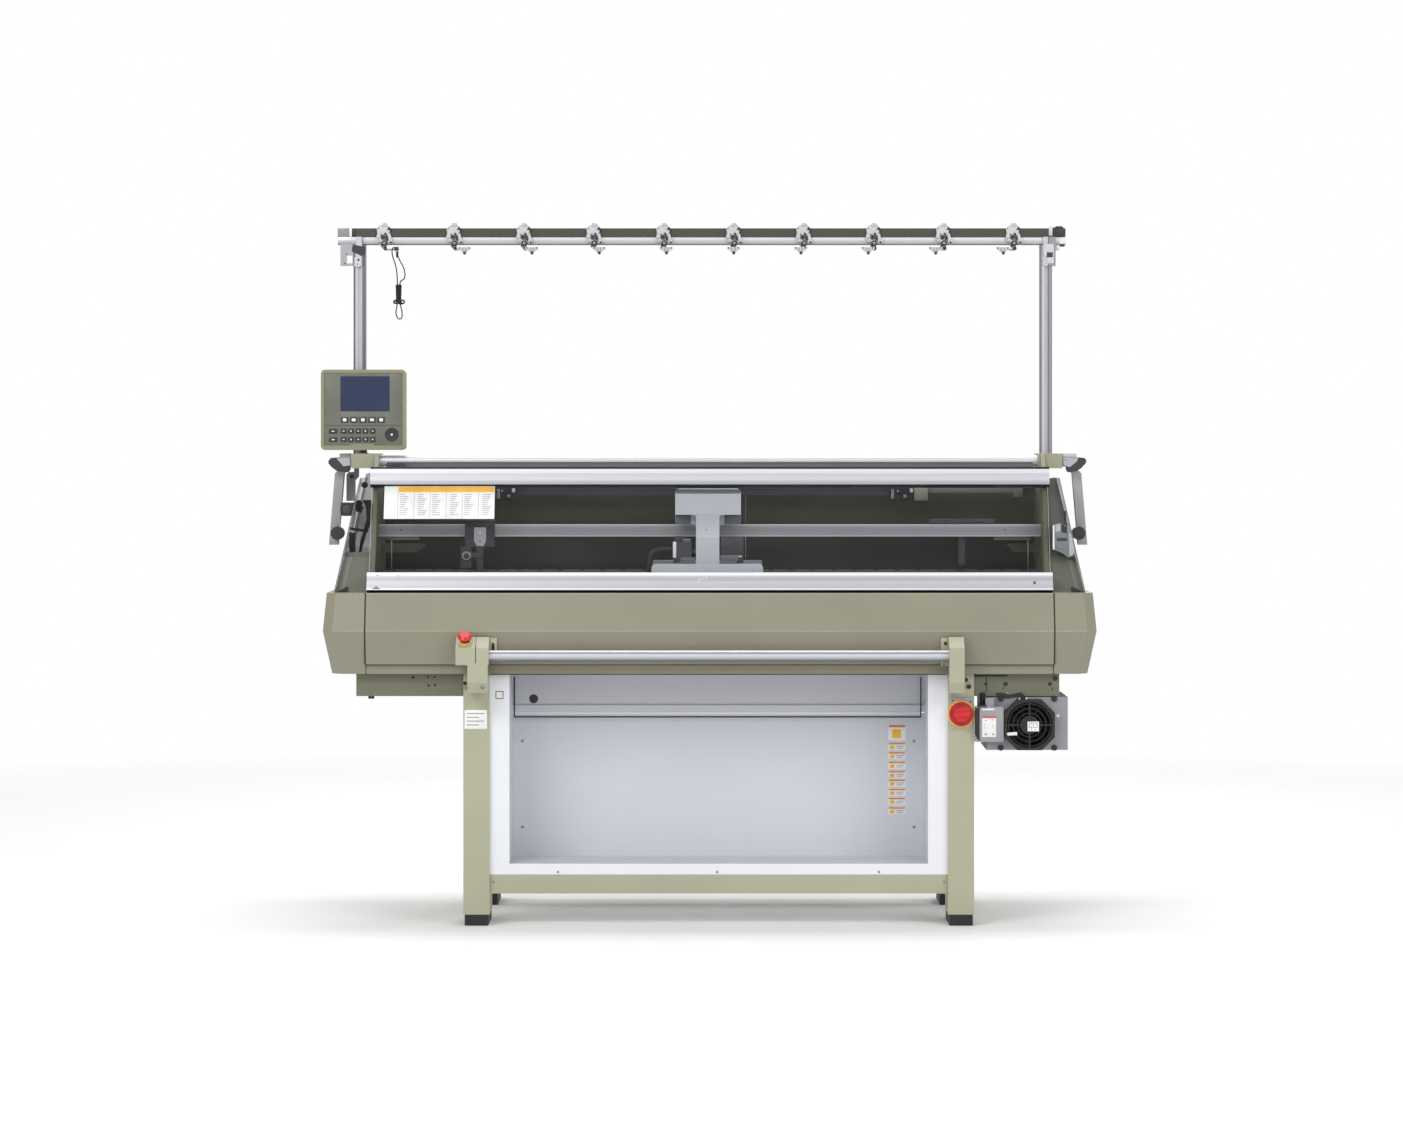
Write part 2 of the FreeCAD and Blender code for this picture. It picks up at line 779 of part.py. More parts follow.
def needle_bed(label, flip):
    """A steel plate at 45 degrees, grooved across for its needles."""
    place = mirror_y if flip else (lambda text: text)
    tip = "bed_middle-bed_verge_gap"
    outline = [
        (place("bed_front"), f"bed_front+{BED_RISE}"), (place("bed_front"), BED_FOOT_TOP),
        (place(tip), f"bed_top-{PLATE_DROP}"), (place(tip), "bed_top"),
    ]
    body = profile(label, "x", LEFT_END, RIGHT_END, outline)
    doc.recompute()
    groove = take(
        body, "x", f"{LEFT_END}+bed_groove_pitch/2", f"{LEFT_END}+bed_groove_pitch/2+bed_groove_width", [
            (place(f"{tip}-bed_groove_length"), "bed_top-bed_groove_length+bed_groove_depth"),
            (place(f"{tip}-bed_groove_length"), "bed_top-bed_groove_length-bed_groove_depth"),
            (place(f"{tip}+bed_groove_over"), "bed_top+bed_groove_over-bed_groove_depth"),
            (place(f"{tip}+bed_groove_over"), "bed_top+bed_groove_over+bed_groove_depth"),
        ])
    doc.recompute()
    pattern = body.newObject("PartDesign::LinearPattern", "Grooves")
    pattern.Originals = [groove]
    pattern.Direction = ([f for f in body.Origin.OriginFeatures if f.Role == "X_Axis"][0], [""])
    count = "floor(2*(bed_half_length-side_plate)/bed_groove_pitch)"
    tie(pattern, "Occurrences", count)
    tie(pattern, "Length", f"bed_groove_pitch*({count}-1)")
    body.Tip = pattern


needle_bed("front_needle_bed", False)
needle_bed("rear_needle_bed", True)

# ---- covers

FRONT_SKIN = [
    ("cover_flange_back", "cover_top"), ("cover_top_front", "cover_top"),
    ("cover_crease_front", "cover_crease"), ("cover_fold_front", "cover_fold"),
    ("cover_hem_front", "cover_fold"), ("cover_hem_front", "cover_hem"), ("leg_front-slide_gap", "cover_hem"),
]
FRONT_LINING = [
    ("leg_front-slide_gap", "cover_hem+sheet_wall"), ("cover_hem_front+sheet_wall", "cover_hem+sheet_wall"),
    ("cover_hem_front+sheet_wall", "cover_fold+sheet_wall"),
    ("cover_fold_front+sheet_wall", "cover_fold+sheet_wall"),
    ("cover_crease_front+sheet_wall", "cover_crease"),
    ("cover_top_front+sheet_wall", "cover_top-sheet_wall"), ("cover_flange_back", "cover_top-sheet_wall"),
]
profile("front_cover", "x", side_x(-1, "cover_half_length"), side_x(1, "cover_half_length"),
        FRONT_SKIN + FRONT_LINING)


def end_section(side, half, front):
    """Plan of an end cover: its front outer corner is bevelled."""
    inner = side_x(side, "cover_half_length")
    return [
        (inner, front), (side_x(side, f"{half}-end_chamfer"), front),
        (side_x(side, half), f"{front}+end_chamfer"), (side_x(side, half), "rear_hem_back"),
        (side_x(side, f"{half}-end_chamfer"), "rear_back"), (inner, "rear_back"),
    ]


END_LEVELS = (
    ("cover_hem", "end_half_hem", "cover_hem_front"),
    ("cover_crease", "end_half_crease", "cover_crease_front"),
    ("cover_top", "end_half_top", "cover_top_front"),
)


def end_cover(label, side, start, end):
    """A moulded end, drawn in above and below its crease and open towards the bed."""
    body = keep(doc.addObject("PartDesign::Body", "Body"), label)
    for lower, upper_level in zip(END_LEVELS, END_LEVELS[1:]):
        sections = [
            sketch_on(body, "z", height, [end_section(side, half, front)])
            for height, half, front in (lower, upper_level)
        ]
        loft = body.newObject("PartDesign::AdditiveLoft", "Loft")
        loft.Profile = sections[0]
        loft.Sections = sections[1:]
        loft.Ruled = True
    doc.recompute()
    inner = side_x(side, "cover_half_length-1")
    outer = side_x(side, "end_half_hem-end_wall-12")
    low, high = (inner, outer) if side > 0 else (outer, inner)
    take(body, "x", low, high, [
        ("cover_hem_front+end_wall+12", "cover_hem+end_floor"), ("rear_back-end_wall", "cover_hem+end_floor"),
        ("rear_back-end_wall", "cover_top-end_wall"), ("cover_top_front+end_wall+12", "cover_top-end_wall"),
        ("cover_crease_front+end_wall+12", "cover_crease"),
    ])
    add(body, "z", "under_box_low", "cover_hem+end_floor/2", rect(
        start, "under_box_front", end, "under_box_front+under_box_depth"))
    return body


end_cover("left_end_cover", -1, "left_under_start", "left_under_end")
end_cover("right_end_cover", 1, "right_under_start", "right_under_end")

rear = profile("rear_cover", "x", side_x(-1, "cover_half_length"), side_x(1, "cover_half_length"), [
    ("rear_front", "rear_top"), ("rear_front", "back_panel_low"),
    ("rear_floor_front", "leg_top+slide_gap"), ("leg_rear+slide_gap", "leg_top+slide_gap"),
    ("leg_rear+slide_gap", "cover_hem"), ("rear_hem_back", "cover_hem"), ("rear_back", "rear_low"), ("rear_back", "rear_shoulder"),
    ("rear_top_back", "rear_top"),
])
take(rear, "x", side_x(-1, "cover_half_length-sheet_wall"), side_x(1, "cover_half_length-sheet_wall"), [
    ("rear_front-1", "rear_top-sheet_wall"), ("rear_front-1", "back_panel_low"),
    ("rear_floor_front", "leg_top+slide_gap+sheet_wall"),
    ("leg_rear+slide_gap+sheet_wall", "leg_top+slide_gap+sheet_wall"),
    ("leg_rear+slide_gap+sheet_wall", "cover_hem+sheet_wall"),
    ("rear_hem_back-sheet_wall", "cover_hem+sheet_wall"),
    ("rear_back-sheet_wall", "rear_low"), ("rear_back-sheet_wall", "rear_shoulder"),
    ("rear_top_back-sheet_wall", "rear_top-sheet_wall"),
])

# ---- side frames and what they carry

doc.recompute()


def side_frame(label, side, knuckle_start, knuckle_end):
    """A plate on the bed's end with the bearing casting of the window's tube on top."""
    inner, outer = side_x(side, "bed_half_length-side_plate"), side_x(side, "bed_half_length")
    low, high = (inner, outer) if side > 0 else (outer, inner)
    body = profile(label, "x", low, high, [
        ("bed_front", "leg_top"), ("bed_front", "cover_top-sheet_wall-slide_gap"),
        lean("lower_rail_height", "-side_setback"), lean("upper_rail_start", "-side_setback"),
        ("knuckle_front-side_setback", "knuckle_low-knuckle_shelf"), ("knuckle_front", "knuckle_top"),
        ("knuckle_back", "knuckle_top"), ("side_back", "side_shoulder"), ("side_back", "leg_top"),
    ])
    add(body, "x", knuckle_start, knuckle_end, rect(
        "knuckle_front", "knuckle_low", "knuckle_back", "knuckle_top"))
    doc.recompute()
    take(body, "x", f"{knuckle_start}-sheet_wall", f"{knuckle_end}+sheet_wall",
         ("tube_axis_depth", "tube_axis_height", "tube_radius+bore_gap"))
    return body


side_frame("left_side_frame", -1, "left_knuckle_start", "left_knuckle_end")
side_frame("right_side_frame", 1, "right_knuckle_start", "right_knuckle_end")

keep(group(*[
    block(LEFT_WEB, RIGHT_WEB, front, f"{front}+carriage_rail_depth", "carriage_rail_low", "carriage_rail_top")
    for front in ("carriage_rail_front", mirror_y("carriage_rail_front+carriage_rail_depth"))
]), "carriage_rails")

rail = profile("yarn_rail", "x", LEFT_WEB, RIGHT_WEB, [
    ("yarn_rail_front", "yarn_rail_low"), ("yarn_rail_front+yarn_rail_depth", "yarn_rail_low"),
    ("yarn_rail_front+yarn_rail_depth", "yarn_rail_top"), ("yarn_rail_front", "yarn_rail_top"),
    ("yarn_rail_front", "yarn_rail_top-12"), ("yarn_rail_front+3", "yarn_rail_top-12"),
    ("yarn_rail_front+3", "yarn_rail_low+12"), ("yarn_rail_front", "yarn_rail_low+12"),
])
profile("upper_rail", "x", LEFT_WEB, RIGHT_WEB, [
    ("upper_rail_front", "upper_rail_low"), ("upper_rail_front+upper_rail_depth", "upper_rail_low"),
    ("upper_rail_front+upper_rail_depth", "upper_rail_low+upper_rail_height"),
    ("upper_rail_front", "upper_rail_low+upper_rail_height"),
    ("upper_rail_front", "upper_rail_low+upper_rail_height-6"),
    ("upper_rail_front+4", "upper_rail_low+upper_rail_height-6"),
    ("upper_rail_front+4", "upper_rail_low+6"), ("upper_rail_front", "upper_rail_low+6"),
])

back_panel = profile("inner_back_panel", "y", "back_panel_front", "back_panel_front+back_panel_wall", rect(
    side_x(-1, "bed_half_length"), "back_panel_low", side_x(1, "bed_half_length"), "back_panel_top"))
for side in (-1, 1):
    add(back_panel, "y", "pulley_front-slide_gap", "back_panel_front", (
        f"body_middle+({side})*pulley_half_spread", "pulley_height", "axle_radius"))

# ---- window that lifts about its tube


def span(half, middle="body_middle"):
    return f"{middle}-({half})", f"{middle}+({half})"


lower_rail = profile("window_lower_rail", "x", *span("window_half_length"), [
    lean("0", "rail_out"), lean("0", "-rail_in"), lean("lower_rail_height", "-rail_in"),
    lean("lower_rail_height", "-pane_thickness/2"),
    lean("lower_rail_height-pane_seat", "-pane_thickness/2"),
    lean("lower_rail_height-pane_seat", "pane_thickness/2"), lean("lower_rail_height", "pane_thickness/2"),
    lean("lower_rail_height", "rail_out"),
])
upper_rail_points = [
    lean("upper_rail_start", "rail_out"), lean("upper_rail_start", "pane_thickness/2"),
    lean("upper_rail_start+pane_seat", "pane_thickness/2"),
    lean("upper_rail_start+pane_seat", "-pane_thickness/2"), lean("upper_rail_start", "-pane_thickness/2"),
    lean("upper_rail_start", "-rail_in"), lean("upper_rail_end", "-rail_in"),
    lean("upper_rail_end", "rail_out"),
]
head_rail = profile("window_upper_rail", "x", *span("window_half_length"), upper_rail_points)
STRIP_BACK = "tube_axis_depth-tube_radius+1.5"
add(head_rail, "x", *span("strip_half_length"), [
    lean("upper_rail_end-strip_thickness", "-rail_in+2"), lean("upper_rail_end", "-rail_in+2"),
    (STRIP_BACK, "tube_axis_height-strip_drop+strip_thickness"), (STRIP_BACK, "tube_axis_height-strip_drop"),
])
take(head_rail, "x", *span("window_half_length"),
     ("tube_axis_depth", "tube_axis_height", "tube_radius+bore_gap/2"))


def arm_end(side, reach):
    """x of the end of the window's tube on one side."""
    return side_x(side, f"bed_half_length+{reach}")


profile("window_pane", "x", *span("pane_half_length"), [
    lean("lower_rail_height-pane_seat", "pane_thickness/2"),
    lean("lower_rail_height-pane_seat", "-pane_thickness/2"),
    lean("upper_rail_start+pane_seat", "-pane_thickness/2"),
    lean("upper_rail_start+pane_seat", "pane_thickness/2"),
])
profile("window_tube", "x", arm_end(-1, "left_arm_reach"), arm_end(1, "right_arm_reach"),
        ("tube_axis_depth", "tube_axis_height", "tube_radius"))


def grip(side, reach):
    """A handle that turns down and in from the end of the tube's arm."""
    end = arm_end(side, reach)

    def out(step):
        return f"{end}+({side})*({step})"

    body = doc.addObject("PartDesign::Body", "Grip")
    under = "tube_axis_height-tube_radius-bore_gap*5"
    add(body, "y", "tube_axis_depth-tube_radius-grip_thickness/2", "tube_axis_depth+grip_thickness/2", [
        (out("bore_gap*2"), "tube_axis_height+grip_drop/3"), (out("grip_reach"), "tube_axis_height+grip_drop/4"),
        (out("grip_reach"), "tube_axis_height-grip_drop*0.27"), (out("-grip_reach*0.18"), "tube_axis_height-grip_drop*0.88"),
        (out("-grip_reach*1.09"), "tube_axis_height-grip_drop"),
        (out("-grip_reach*1.4"), "tube_axis_height-grip_drop*0.7"),
        (out("-grip_reach*1.18"), under), (out("bore_gap*2"), under),
    ])
    doc.recompute()
    tube_height = SIZES["cover_top"] + SIZES["tube_rise"]
    soften(body, "grip_fillet*0.6", lambda edge: runs(edge, "y")
           and abs(edge.CenterOfMass.z - tube_height + SIZES["tube_radius"]) > 1)
    return body


def arm_knob(side, reach):
    """A clamping knob on the front of the lower end of the window's side arm."""
    return rod("y", "knob_radius", "arm_front-knob_length", "arm_front",
               f"{arm_end(side, reach)}+({side})*arm_knob_shift", "arm_low+arm_knob_rise")


keep(group(grip(-1, "left_arm_reach"), grip(1, "right_arm_reach"), arm_knob(-1, "left_arm_reach"),
           arm_knob(1, "right_arm_reach")), "window_grips")


def side_arm(side, reach, knuckle):
    """A sleeve on the tube's end with a flat bar that hangs outside the side shield."""
    end = arm_end(side, reach)

    def out(step):
        return f"{end}+({side})*({step})"

    body = doc.addObject("PartDesign::Body", "Arm")
    start, stop = f"{knuckle}+({side})*slide_gap*5", out("-slide_gap")
    low, high = (start, stop) if side > 0 else (stop, start)
    sleeve_front = "tube_axis_depth-tube_radius-sleeve_wall"
    sleeve_back, sleeve_low = "arm_front+arm_depth", "tube_axis_height-tube_radius-bore_gap*4"
    sleeve_top = "tube_axis_height+tube_radius+sleeve_wall"
    add(body, "x", low, high, [
        (sleeve_front, sleeve_low), (sleeve_back, sleeve_low), (sleeve_back, f"{sleeve_top}-sleeve_cut"),
        (f"{sleeve_back}-sleeve_cut", sleeve_top), (f"{sleeve_front}+sleeve_cut", sleeve_top),
        (sleeve_front, f"{sleeve_top}-sleeve_cut"),
    ])
    add(body, "y", "arm_front", "arm_front+arm_depth", [
        (out("-arm_hip"), "tube_axis_height-tube_radius"), (out("arm_shoulder"), "tube_axis_height-tube_radius-arm_drop"),
        (out("arm_splay"), "arm_low"), (out("arm_splay-arm_width"), "arm_low"),
        (out("arm_shoulder-arm_width"), "tube_axis_height-tube_radius-arm_drop"),
        (out("-arm_hip-arm_width"), "tube_axis_height-tube_radius"),
    ])
    take(body, "x", f"{low}-sheet_wall", f"{high}+sheet_wall",
         ("tube_axis_depth", "tube_axis_height", "tube_radius+bore_gap/2"))
    return body


keep(group(side_arm(-1, "left_arm_reach", "left_knuckle_start"),
           side_arm(1, "right_arm_reach", "right_knuckle_end")), "window_arms")


def side_shield(label, side):
    """A clear plate that leans in from the end cover's top."""
    sheet_edge = [
        ("cover_top_front+shield_front_gap", "0"), ("shield_top_front", "shield_height"),
        ("shield_back", "shield_height"), ("shield_back", "0"),
    ]
    body = profile(label, "x", "-shield_thickness/2", "shield_thickness/2", sheet_edge)
    tie(body, "Placement.Base.x", side_x(side, "shield_foot_half"))
    tie(body, "Placement.Base.z", "cover_top+0.7")
    body.Placement.Rotation = FreeCAD.Rotation(FreeCAD.Vector(0, 1, 0), -side * SIZES["shield_lean"])
    return body


side_shield("left_side_shield", -1)
side_shield("right_side_shield", 1)


def shield_face(rise):
    """x of the left shield's outer face at a height over the end cover."""
    return side_x(-1, f"shield_foot_half+shield_thickness/2/cos(shield_lean)-({rise})*tan(shield_lean)")


keep(rod("x", "knob_radius", f"{shield_face('knob_rise-0.7-knob_radius')}-knob_length",
         shield_face("knob_rise-0.7-knob_radius"), "knob_depth", "cover_top+knob_rise"), "shield_knob")

# ---- carriage

CAM_LEFT, CAM_RIGHT = span("cam_half_length", "carriage_middle")
cam_section = [
    ("cam_front", "cam_top"), ("cam_front", "carriage_rail_top+slide_gap"),
    ("carriage_rail_front+carriage_rail_depth+cam_float", "carriage_rail_top+slide_gap"),
    ("carriage_rail_front+carriage_rail_depth+cam_float",
     f"carriage_rail_front+carriage_rail_depth+cam_float+{BED_RISE}+cam_float"),
    (f"cam_nose-({BED_RISE})-cam_float", "cam_nose"), ("cam_back", "cam_nose+cam_lip"), ("cam_back", "cam_top"),
]
front_cam = profile("front_cam_block", "x", CAM_LEFT, CAM_RIGHT, cam_section)
doc.recompute()
top_front = SIZES["cam_top"]
soften(front_cam, "head_bevel", lambda edge: runs(edge, "y") and edge.CenterOfMass.z > top_front - 0.1)
rear_cam = profile("rear_cam_block", "x", CAM_LEFT, CAM_RIGHT, both_halves(cam_section)[1])
BELT_TOP = "pulley_height+pulley_radius+slide_gap+belt_thickness"
add(rear_cam, "x", *span("clamp_half", "carriage_middle"), [
    (mirror_y("cam_front+1"), f"{BELT_TOP}+slide_gap+clamp_height+12"),
    (mirror_y("cam_front+1"), "carriage_rail_top+slide_gap"),
    ("pulley_front+1", "carriage_rail_top+slide_gap"), ("pulley_front+1", f"{BELT_TOP}+slide_gap"),
    ("pulley_front+belt_width", f"{BELT_TOP}+slide_gap"),
    ("pulley_front+belt_width", f"{BELT_TOP}+slide_gap+clamp_height+12"),
])

BRIDGE_TOP = "bridge_low+bridge_thickness"
bridge = profile("carriage_bridge", "y", "stem_front", "stem_front+stem_depth", [
    ("stem_left", "cam_top"), ("stem_right", "cam_top"), ("stem_right", "head_low"),
    ("head_right", "head_low"), ("head_right", "head_top"), ("head_left", "head_top"),
    ("head_left", "head_low"), ("stem_left", "head_low"),
])
add(bridge, "y", "stem_front+stem_depth-1", "stem_front+stem_depth+head_skirt",
    rect("head_left", "head_throat", "head_right", "head_top"))
add(bridge, "y", "stem_front+stem_depth", "head_back", rect("head_left", "head_low", "head_right", "head_top"))
doc.recompute()
soften(bridge, "head_bevel", lambda edge: runs(edge, "x") and edge.CenterOfMass.z > SIZES["head_top"] - 0.1
       and edge.CenterOfMass.y < SIZES["stem_front"] + 0.1, "Chamfer", "Size")
soften(bridge, "head_fillet", lambda edge: runs(edge, "y")
       and edge.CenterOfMass.z > SIZES["head_throat"] - 0.1
       and (abs(edge.CenterOfMass.z - SIZES["head_low"]) > SIZES["head_fillet"]
            or abs(edge.CenterOfMass.x - SIZES["stem_left"]) < 1
            or abs(edge.CenterOfMass.x - SIZES["stem_right"]) < 1))
add(bridge, "y", "head_back-1", "rear_stem_front+rear_stem_depth", rect(
    "stem_left-20", "bridge_low+8", "stem_right+20", BRIDGE_TOP))
add(bridge, "y", "rear_stem_front", "rear_stem_front+rear_stem_depth",
    rect("stem_left", "cam_top", "stem_right", "bridge_low+9"))

MOTOR_FOOT = "cam_top"
motor_parts = [
    block("left_motor_start", "left_motor_end", "motor_front", "motor_back",
          "left_motor_low", "left_motor_top"),
    block("left_motor_start", "left_motor_start+motor_tie", "motor_front", "motor_back+12",
          MOTOR_FOOT, "left_motor_top-6"),
    block("right_motor_start", "right_motor_end", "motor_front", "motor_back",
          "right_motor_low", "right_motor_top"),
    block("right_motor_end-2*motor_tie", "right_motor_end", "motor_front+6", "motor_back",
          MOTOR_FOOT, "right_motor_low+2"),
    rod("x", "9", "left_motor_end-2", "right_motor_start+2", "motor_back-12", "left_motor_low+16"),
]
keep(fuse(*motor_parts), "carriage_motor")


ACROSS, UP = FreeCAD.Vector(0, 1, 0), FreeCAD.Vector(0, 0, 1)


def facets(radius, centre, first, second):
    """An eight-sided ring of a hose or cord, across the two directions given."""
    turns = [math.pi * (step + 0.5) / 4 for step in range(9)]
    return Part.makePolygon([
        centre + (first * math.cos(turn) + second * math.sin(turn)) * radius for turn in turns])


def hose():
    """A bent hose from the left motor box down beside the cam block."""
    size = SIZES
    bend, depth = size["hose_bend"], size["hose_depth"]
    start = FreeCAD.Vector(size["left_motor_start"] - 0.1, depth, size["left_motor_top"] - 22)
    drop_x = size["carriage_middle"] - size["cam_half_length"] - size["hose_radius"] - 0.3
    bow = FreeCAD.Vector(drop_x + bend, depth, start.z)
    turn = FreeCAD.Vector(drop_x, depth, start.z - bend)
    middle = FreeCAD.Vector(
        drop_x + bend * (1 - math.sin(math.pi / 4)), depth, start.z - bend * (1 - math.cos(math.pi / 4)))
    end = FreeCAD.Vector(drop_x, depth, size["hose_low"])
    path = [Part.LineSegment(start, bow).toShape()] if start.x - bow.x > 0.5 else []
    path += [Part.Arc(bow, middle, turn).toShape(), Part.LineSegment(turn, end).toShape()]
    ring = facets(size["hose_radius"], path[0].valueAt(path[0].FirstParameter), ACROSS, UP)
    return Part.Wire(path).makePipeShell([ring], True, False)


hose_piece = keep(doc.addObject("Part::Feature", "Hose"), "carriage_cable")
hose_piece.Shape = hose()

# ---- yarn carriers on the two lanes of their rail

left_parts = [
    block("left_carrier_start", "left_carrier_end", "yarn_rail_front-slide_gap-carrier_plate",
          "yarn_rail_front-slide_gap", "carrier_low", "carrier_top"),
    block("left_carrier_start", "left_carrier_end", "yarn_rail_front-slide_gap-1",
          "yarn_rail_front+carrier_lane", "yarn_rail_top+slide_gap", "carrier_top"),
    block("feeder_start", "feeder_start+feeder_width", "yarn_rail_front-slide_gap-carrier_plate",
          "yarn_rail_front-slide_gap-carrier_plate+feeder_depth", "feeder_low", "carrier_low+2"),
    block("left_carrier_start-12", "left_carrier_start+18", "yarn_rail_front-slide_gap-carrier_plate+1",
          "yarn_rail_front-slide_gap-2", "feeder_low+16", "carrier_low+2"),
]
keep(fuse(*left_parts), "left_yarn_carrier")
RAIL_BACK = "yarn_rail_front+yarn_rail_depth"
right_parts = [
    block("right_carrier_start", "right_carrier_end", f"{RAIL_BACK}-right_carrier_lane+slide_gap",
          f"{RAIL_BACK}+slide_gap+2", "yarn_rail_top+slide_gap", "carrier_top+3"),
    block("right_carrier_start+30", "right_carrier_end-30", f"{RAIL_BACK}+slide_gap",
          f"{RAIL_BACK}+right_carrier_hook", "yarn_rail_low", "carrier_top+3"),
    block("right_feeder_middle-feeder_width/2", "right_feeder_middle+feeder_width/2",
          f"{RAIL_BACK}+slide_gap+1", f"{RAIL_BACK}+right_carrier_hook-2", "bed_top+14", "yarn_rail_low+2"),
]
keep(fuse(*right_parts), "right_yarn_carrier")

# ---- belt drive behind the carriage


def pulley(label, side):
    middle = f"body_middle+({side})*pulley_half_spread"
    body = profile(label, "y", "pulley_front", "pulley_front+pulley_width",
                   (middle, "pulley_height", "pulley_radius"))
    add(body, "y", "pulley_front+pulley_width", "pulley_front+pulley_width+pulley_flange",
        (middle, "pulley_height", "pulley_radius+4"))
    take(body, "y", "pulley_front-1", "pulley_front+pulley_width+pulley_flange",
         (middle, "pulley_height", "axle_radius+bore_gap"))


pulley("drive_pulley", -1)
pulley("idler_pulley", 1)


def belt_loop(radius):
    """A flat slab with round ends, for the outside or the inside of the belt."""
    left, right = "body_middle-pulley_half_spread", "body_middle+pulley_half_spread"
    low, high = "pulley_front+1", "pulley_front+1+belt_width"
    ends = [rod("y", radius, low, high, x, "pulley_height") for x in (left, right)]
    return fuse(*ends, block(left, right, low, high, f"pulley_height-({radius})", f"pulley_height+({radius})"))


keep(cut(belt_loop("pulley_radius+slide_gap+belt_thickness"), belt_loop("pulley_radius+slide_gap")), "drive_belt")


# ---- takedown rollers in the bed's slot


def roller(label, radius, depth):
    left, right = f"{LEFT_WEB}+bed_end_web", f"{RIGHT_WEB}-bed_end_web"
    keep(fuse(
        rod("x", radius, f"{left}+roller_end_gap", f"{right}-roller_end_gap", depth, "roller_height"),
        rod("x", "journal_radius", f"{left}-bed_end_web+1", f"{right}+bed_end_web-1", depth, "roller_height"),
    ), label)


roller("takedown_roller", "takedown_radius", "takedown_depth")
roller("nip_roller", "nip_radius", "nip_depth")

# ---- stand and thread beam


def post(label, middle, start, end, hole):
    """A slotted aluminium post with the bracket that carries the thread beam."""
    half, slot, deep = "post_width/2", "post_slot/2", "post_slot_depth"
    quarter = [(f"-{half}", f"-{half}"), (f"-{slot}", f"-{half}"), (f"-{slot}", f"-{half}+{deep}"),
               (slot, f"-{half}+{deep}"), (slot, f"-{half}")]
    outline = []
    for turn in range(4):
        for u, v in quarter:
            for _ in range(turn):
                u, v = f"-({v})", u
            outline.append((f"{middle}+({u})", f"post_depth+({v})"))
    body = profile(label, "z", "knuckle_top", "thread_tube_low", outline)
    loops = [rect(start, "bracket_low", end, "thread_tube_low+thread_tube_height")]
    if hole:
        loops.append(rect(f"{middle}-36", "bracket_low+8", f"{middle}-36+bracket_hole", "bracket_low+30"))
    add(body, "y", "post_depth-post_width/2-bracket_plate", "post_depth-post_width/2", *loops)
    return body


post("left_post", "post_left", "post_left-bracket_wide", "post_left+bracket_narrow", True)
post("right_post", "post_right", "post_right-bracket_narrow", "post_right+bracket_right_reach", False)

TUBE_FRONT = "post_depth-thread_tube_depth/2"
TUBE_TOP = "thread_tube_low+thread_tube_height"
thread_tube = profile("thread_tube", "x", "thread_left", "thread_right", rect(
    TUBE_FRONT, "thread_tube_low", f"{TUBE_FRONT}+thread_tube_depth", TUBE_TOP))
doc.recompute()
soften(thread_tube, "sheet_wall", lambda edge: runs(edge, "x"))
take(thread_tube, "x", "thread_left", "thread_right", rect(
    f"{TUBE_FRONT}+sheet_wall", "thread_tube_low+sheet_wall",
    f"{TUBE_FRONT}+thread_tube_depth-sheet_wall", f"{TUBE_TOP}-sheet_wall"))
CHANNEL_FRONT = "post_depth-channel_depth/2"
CHANNEL_BACK = "post_depth+channel_depth/2"
CHANNEL_TOP = f"{TUBE_TOP}+channel_height"
profile("top_channel", "x", "thread_left", "thread_right", [
    (CHANNEL_FRONT, TUBE_TOP), (CHANNEL_BACK, TUBE_TOP), (CHANNEL_BACK, CHANNEL_TOP),
    (f"{CHANNEL_BACK}-channel_wall", CHANNEL_TOP), (f"{CHANNEL_BACK}-channel_wall", f"{TUBE_TOP}+channel_wall"),
    (f"{CHANNEL_FRONT}+channel_wall", f"{TUBE_TOP}+channel_wall"),
    (f"{CHANNEL_FRONT}+channel_wall", CHANNEL_TOP), (CHANNEL_FRONT, CHANNEL_TOP),
])


# The plate of a tension unit, as shares of its width and height.
UNIT_OUTLINE = (
    (-0.48, 0.72), (-0.24, 0.9), (0.18, 1), (0.35, 0.93), (0.5, 0.8), (0.48, 0.53),
    (0.4, 0.31), (0.1, 0.08), (-0.12, 0), (-0.43, 0.04), (-0.5, 0.33), (-0.43, 0.47),
)
UNIT_TOP = "unit_top-1.5"


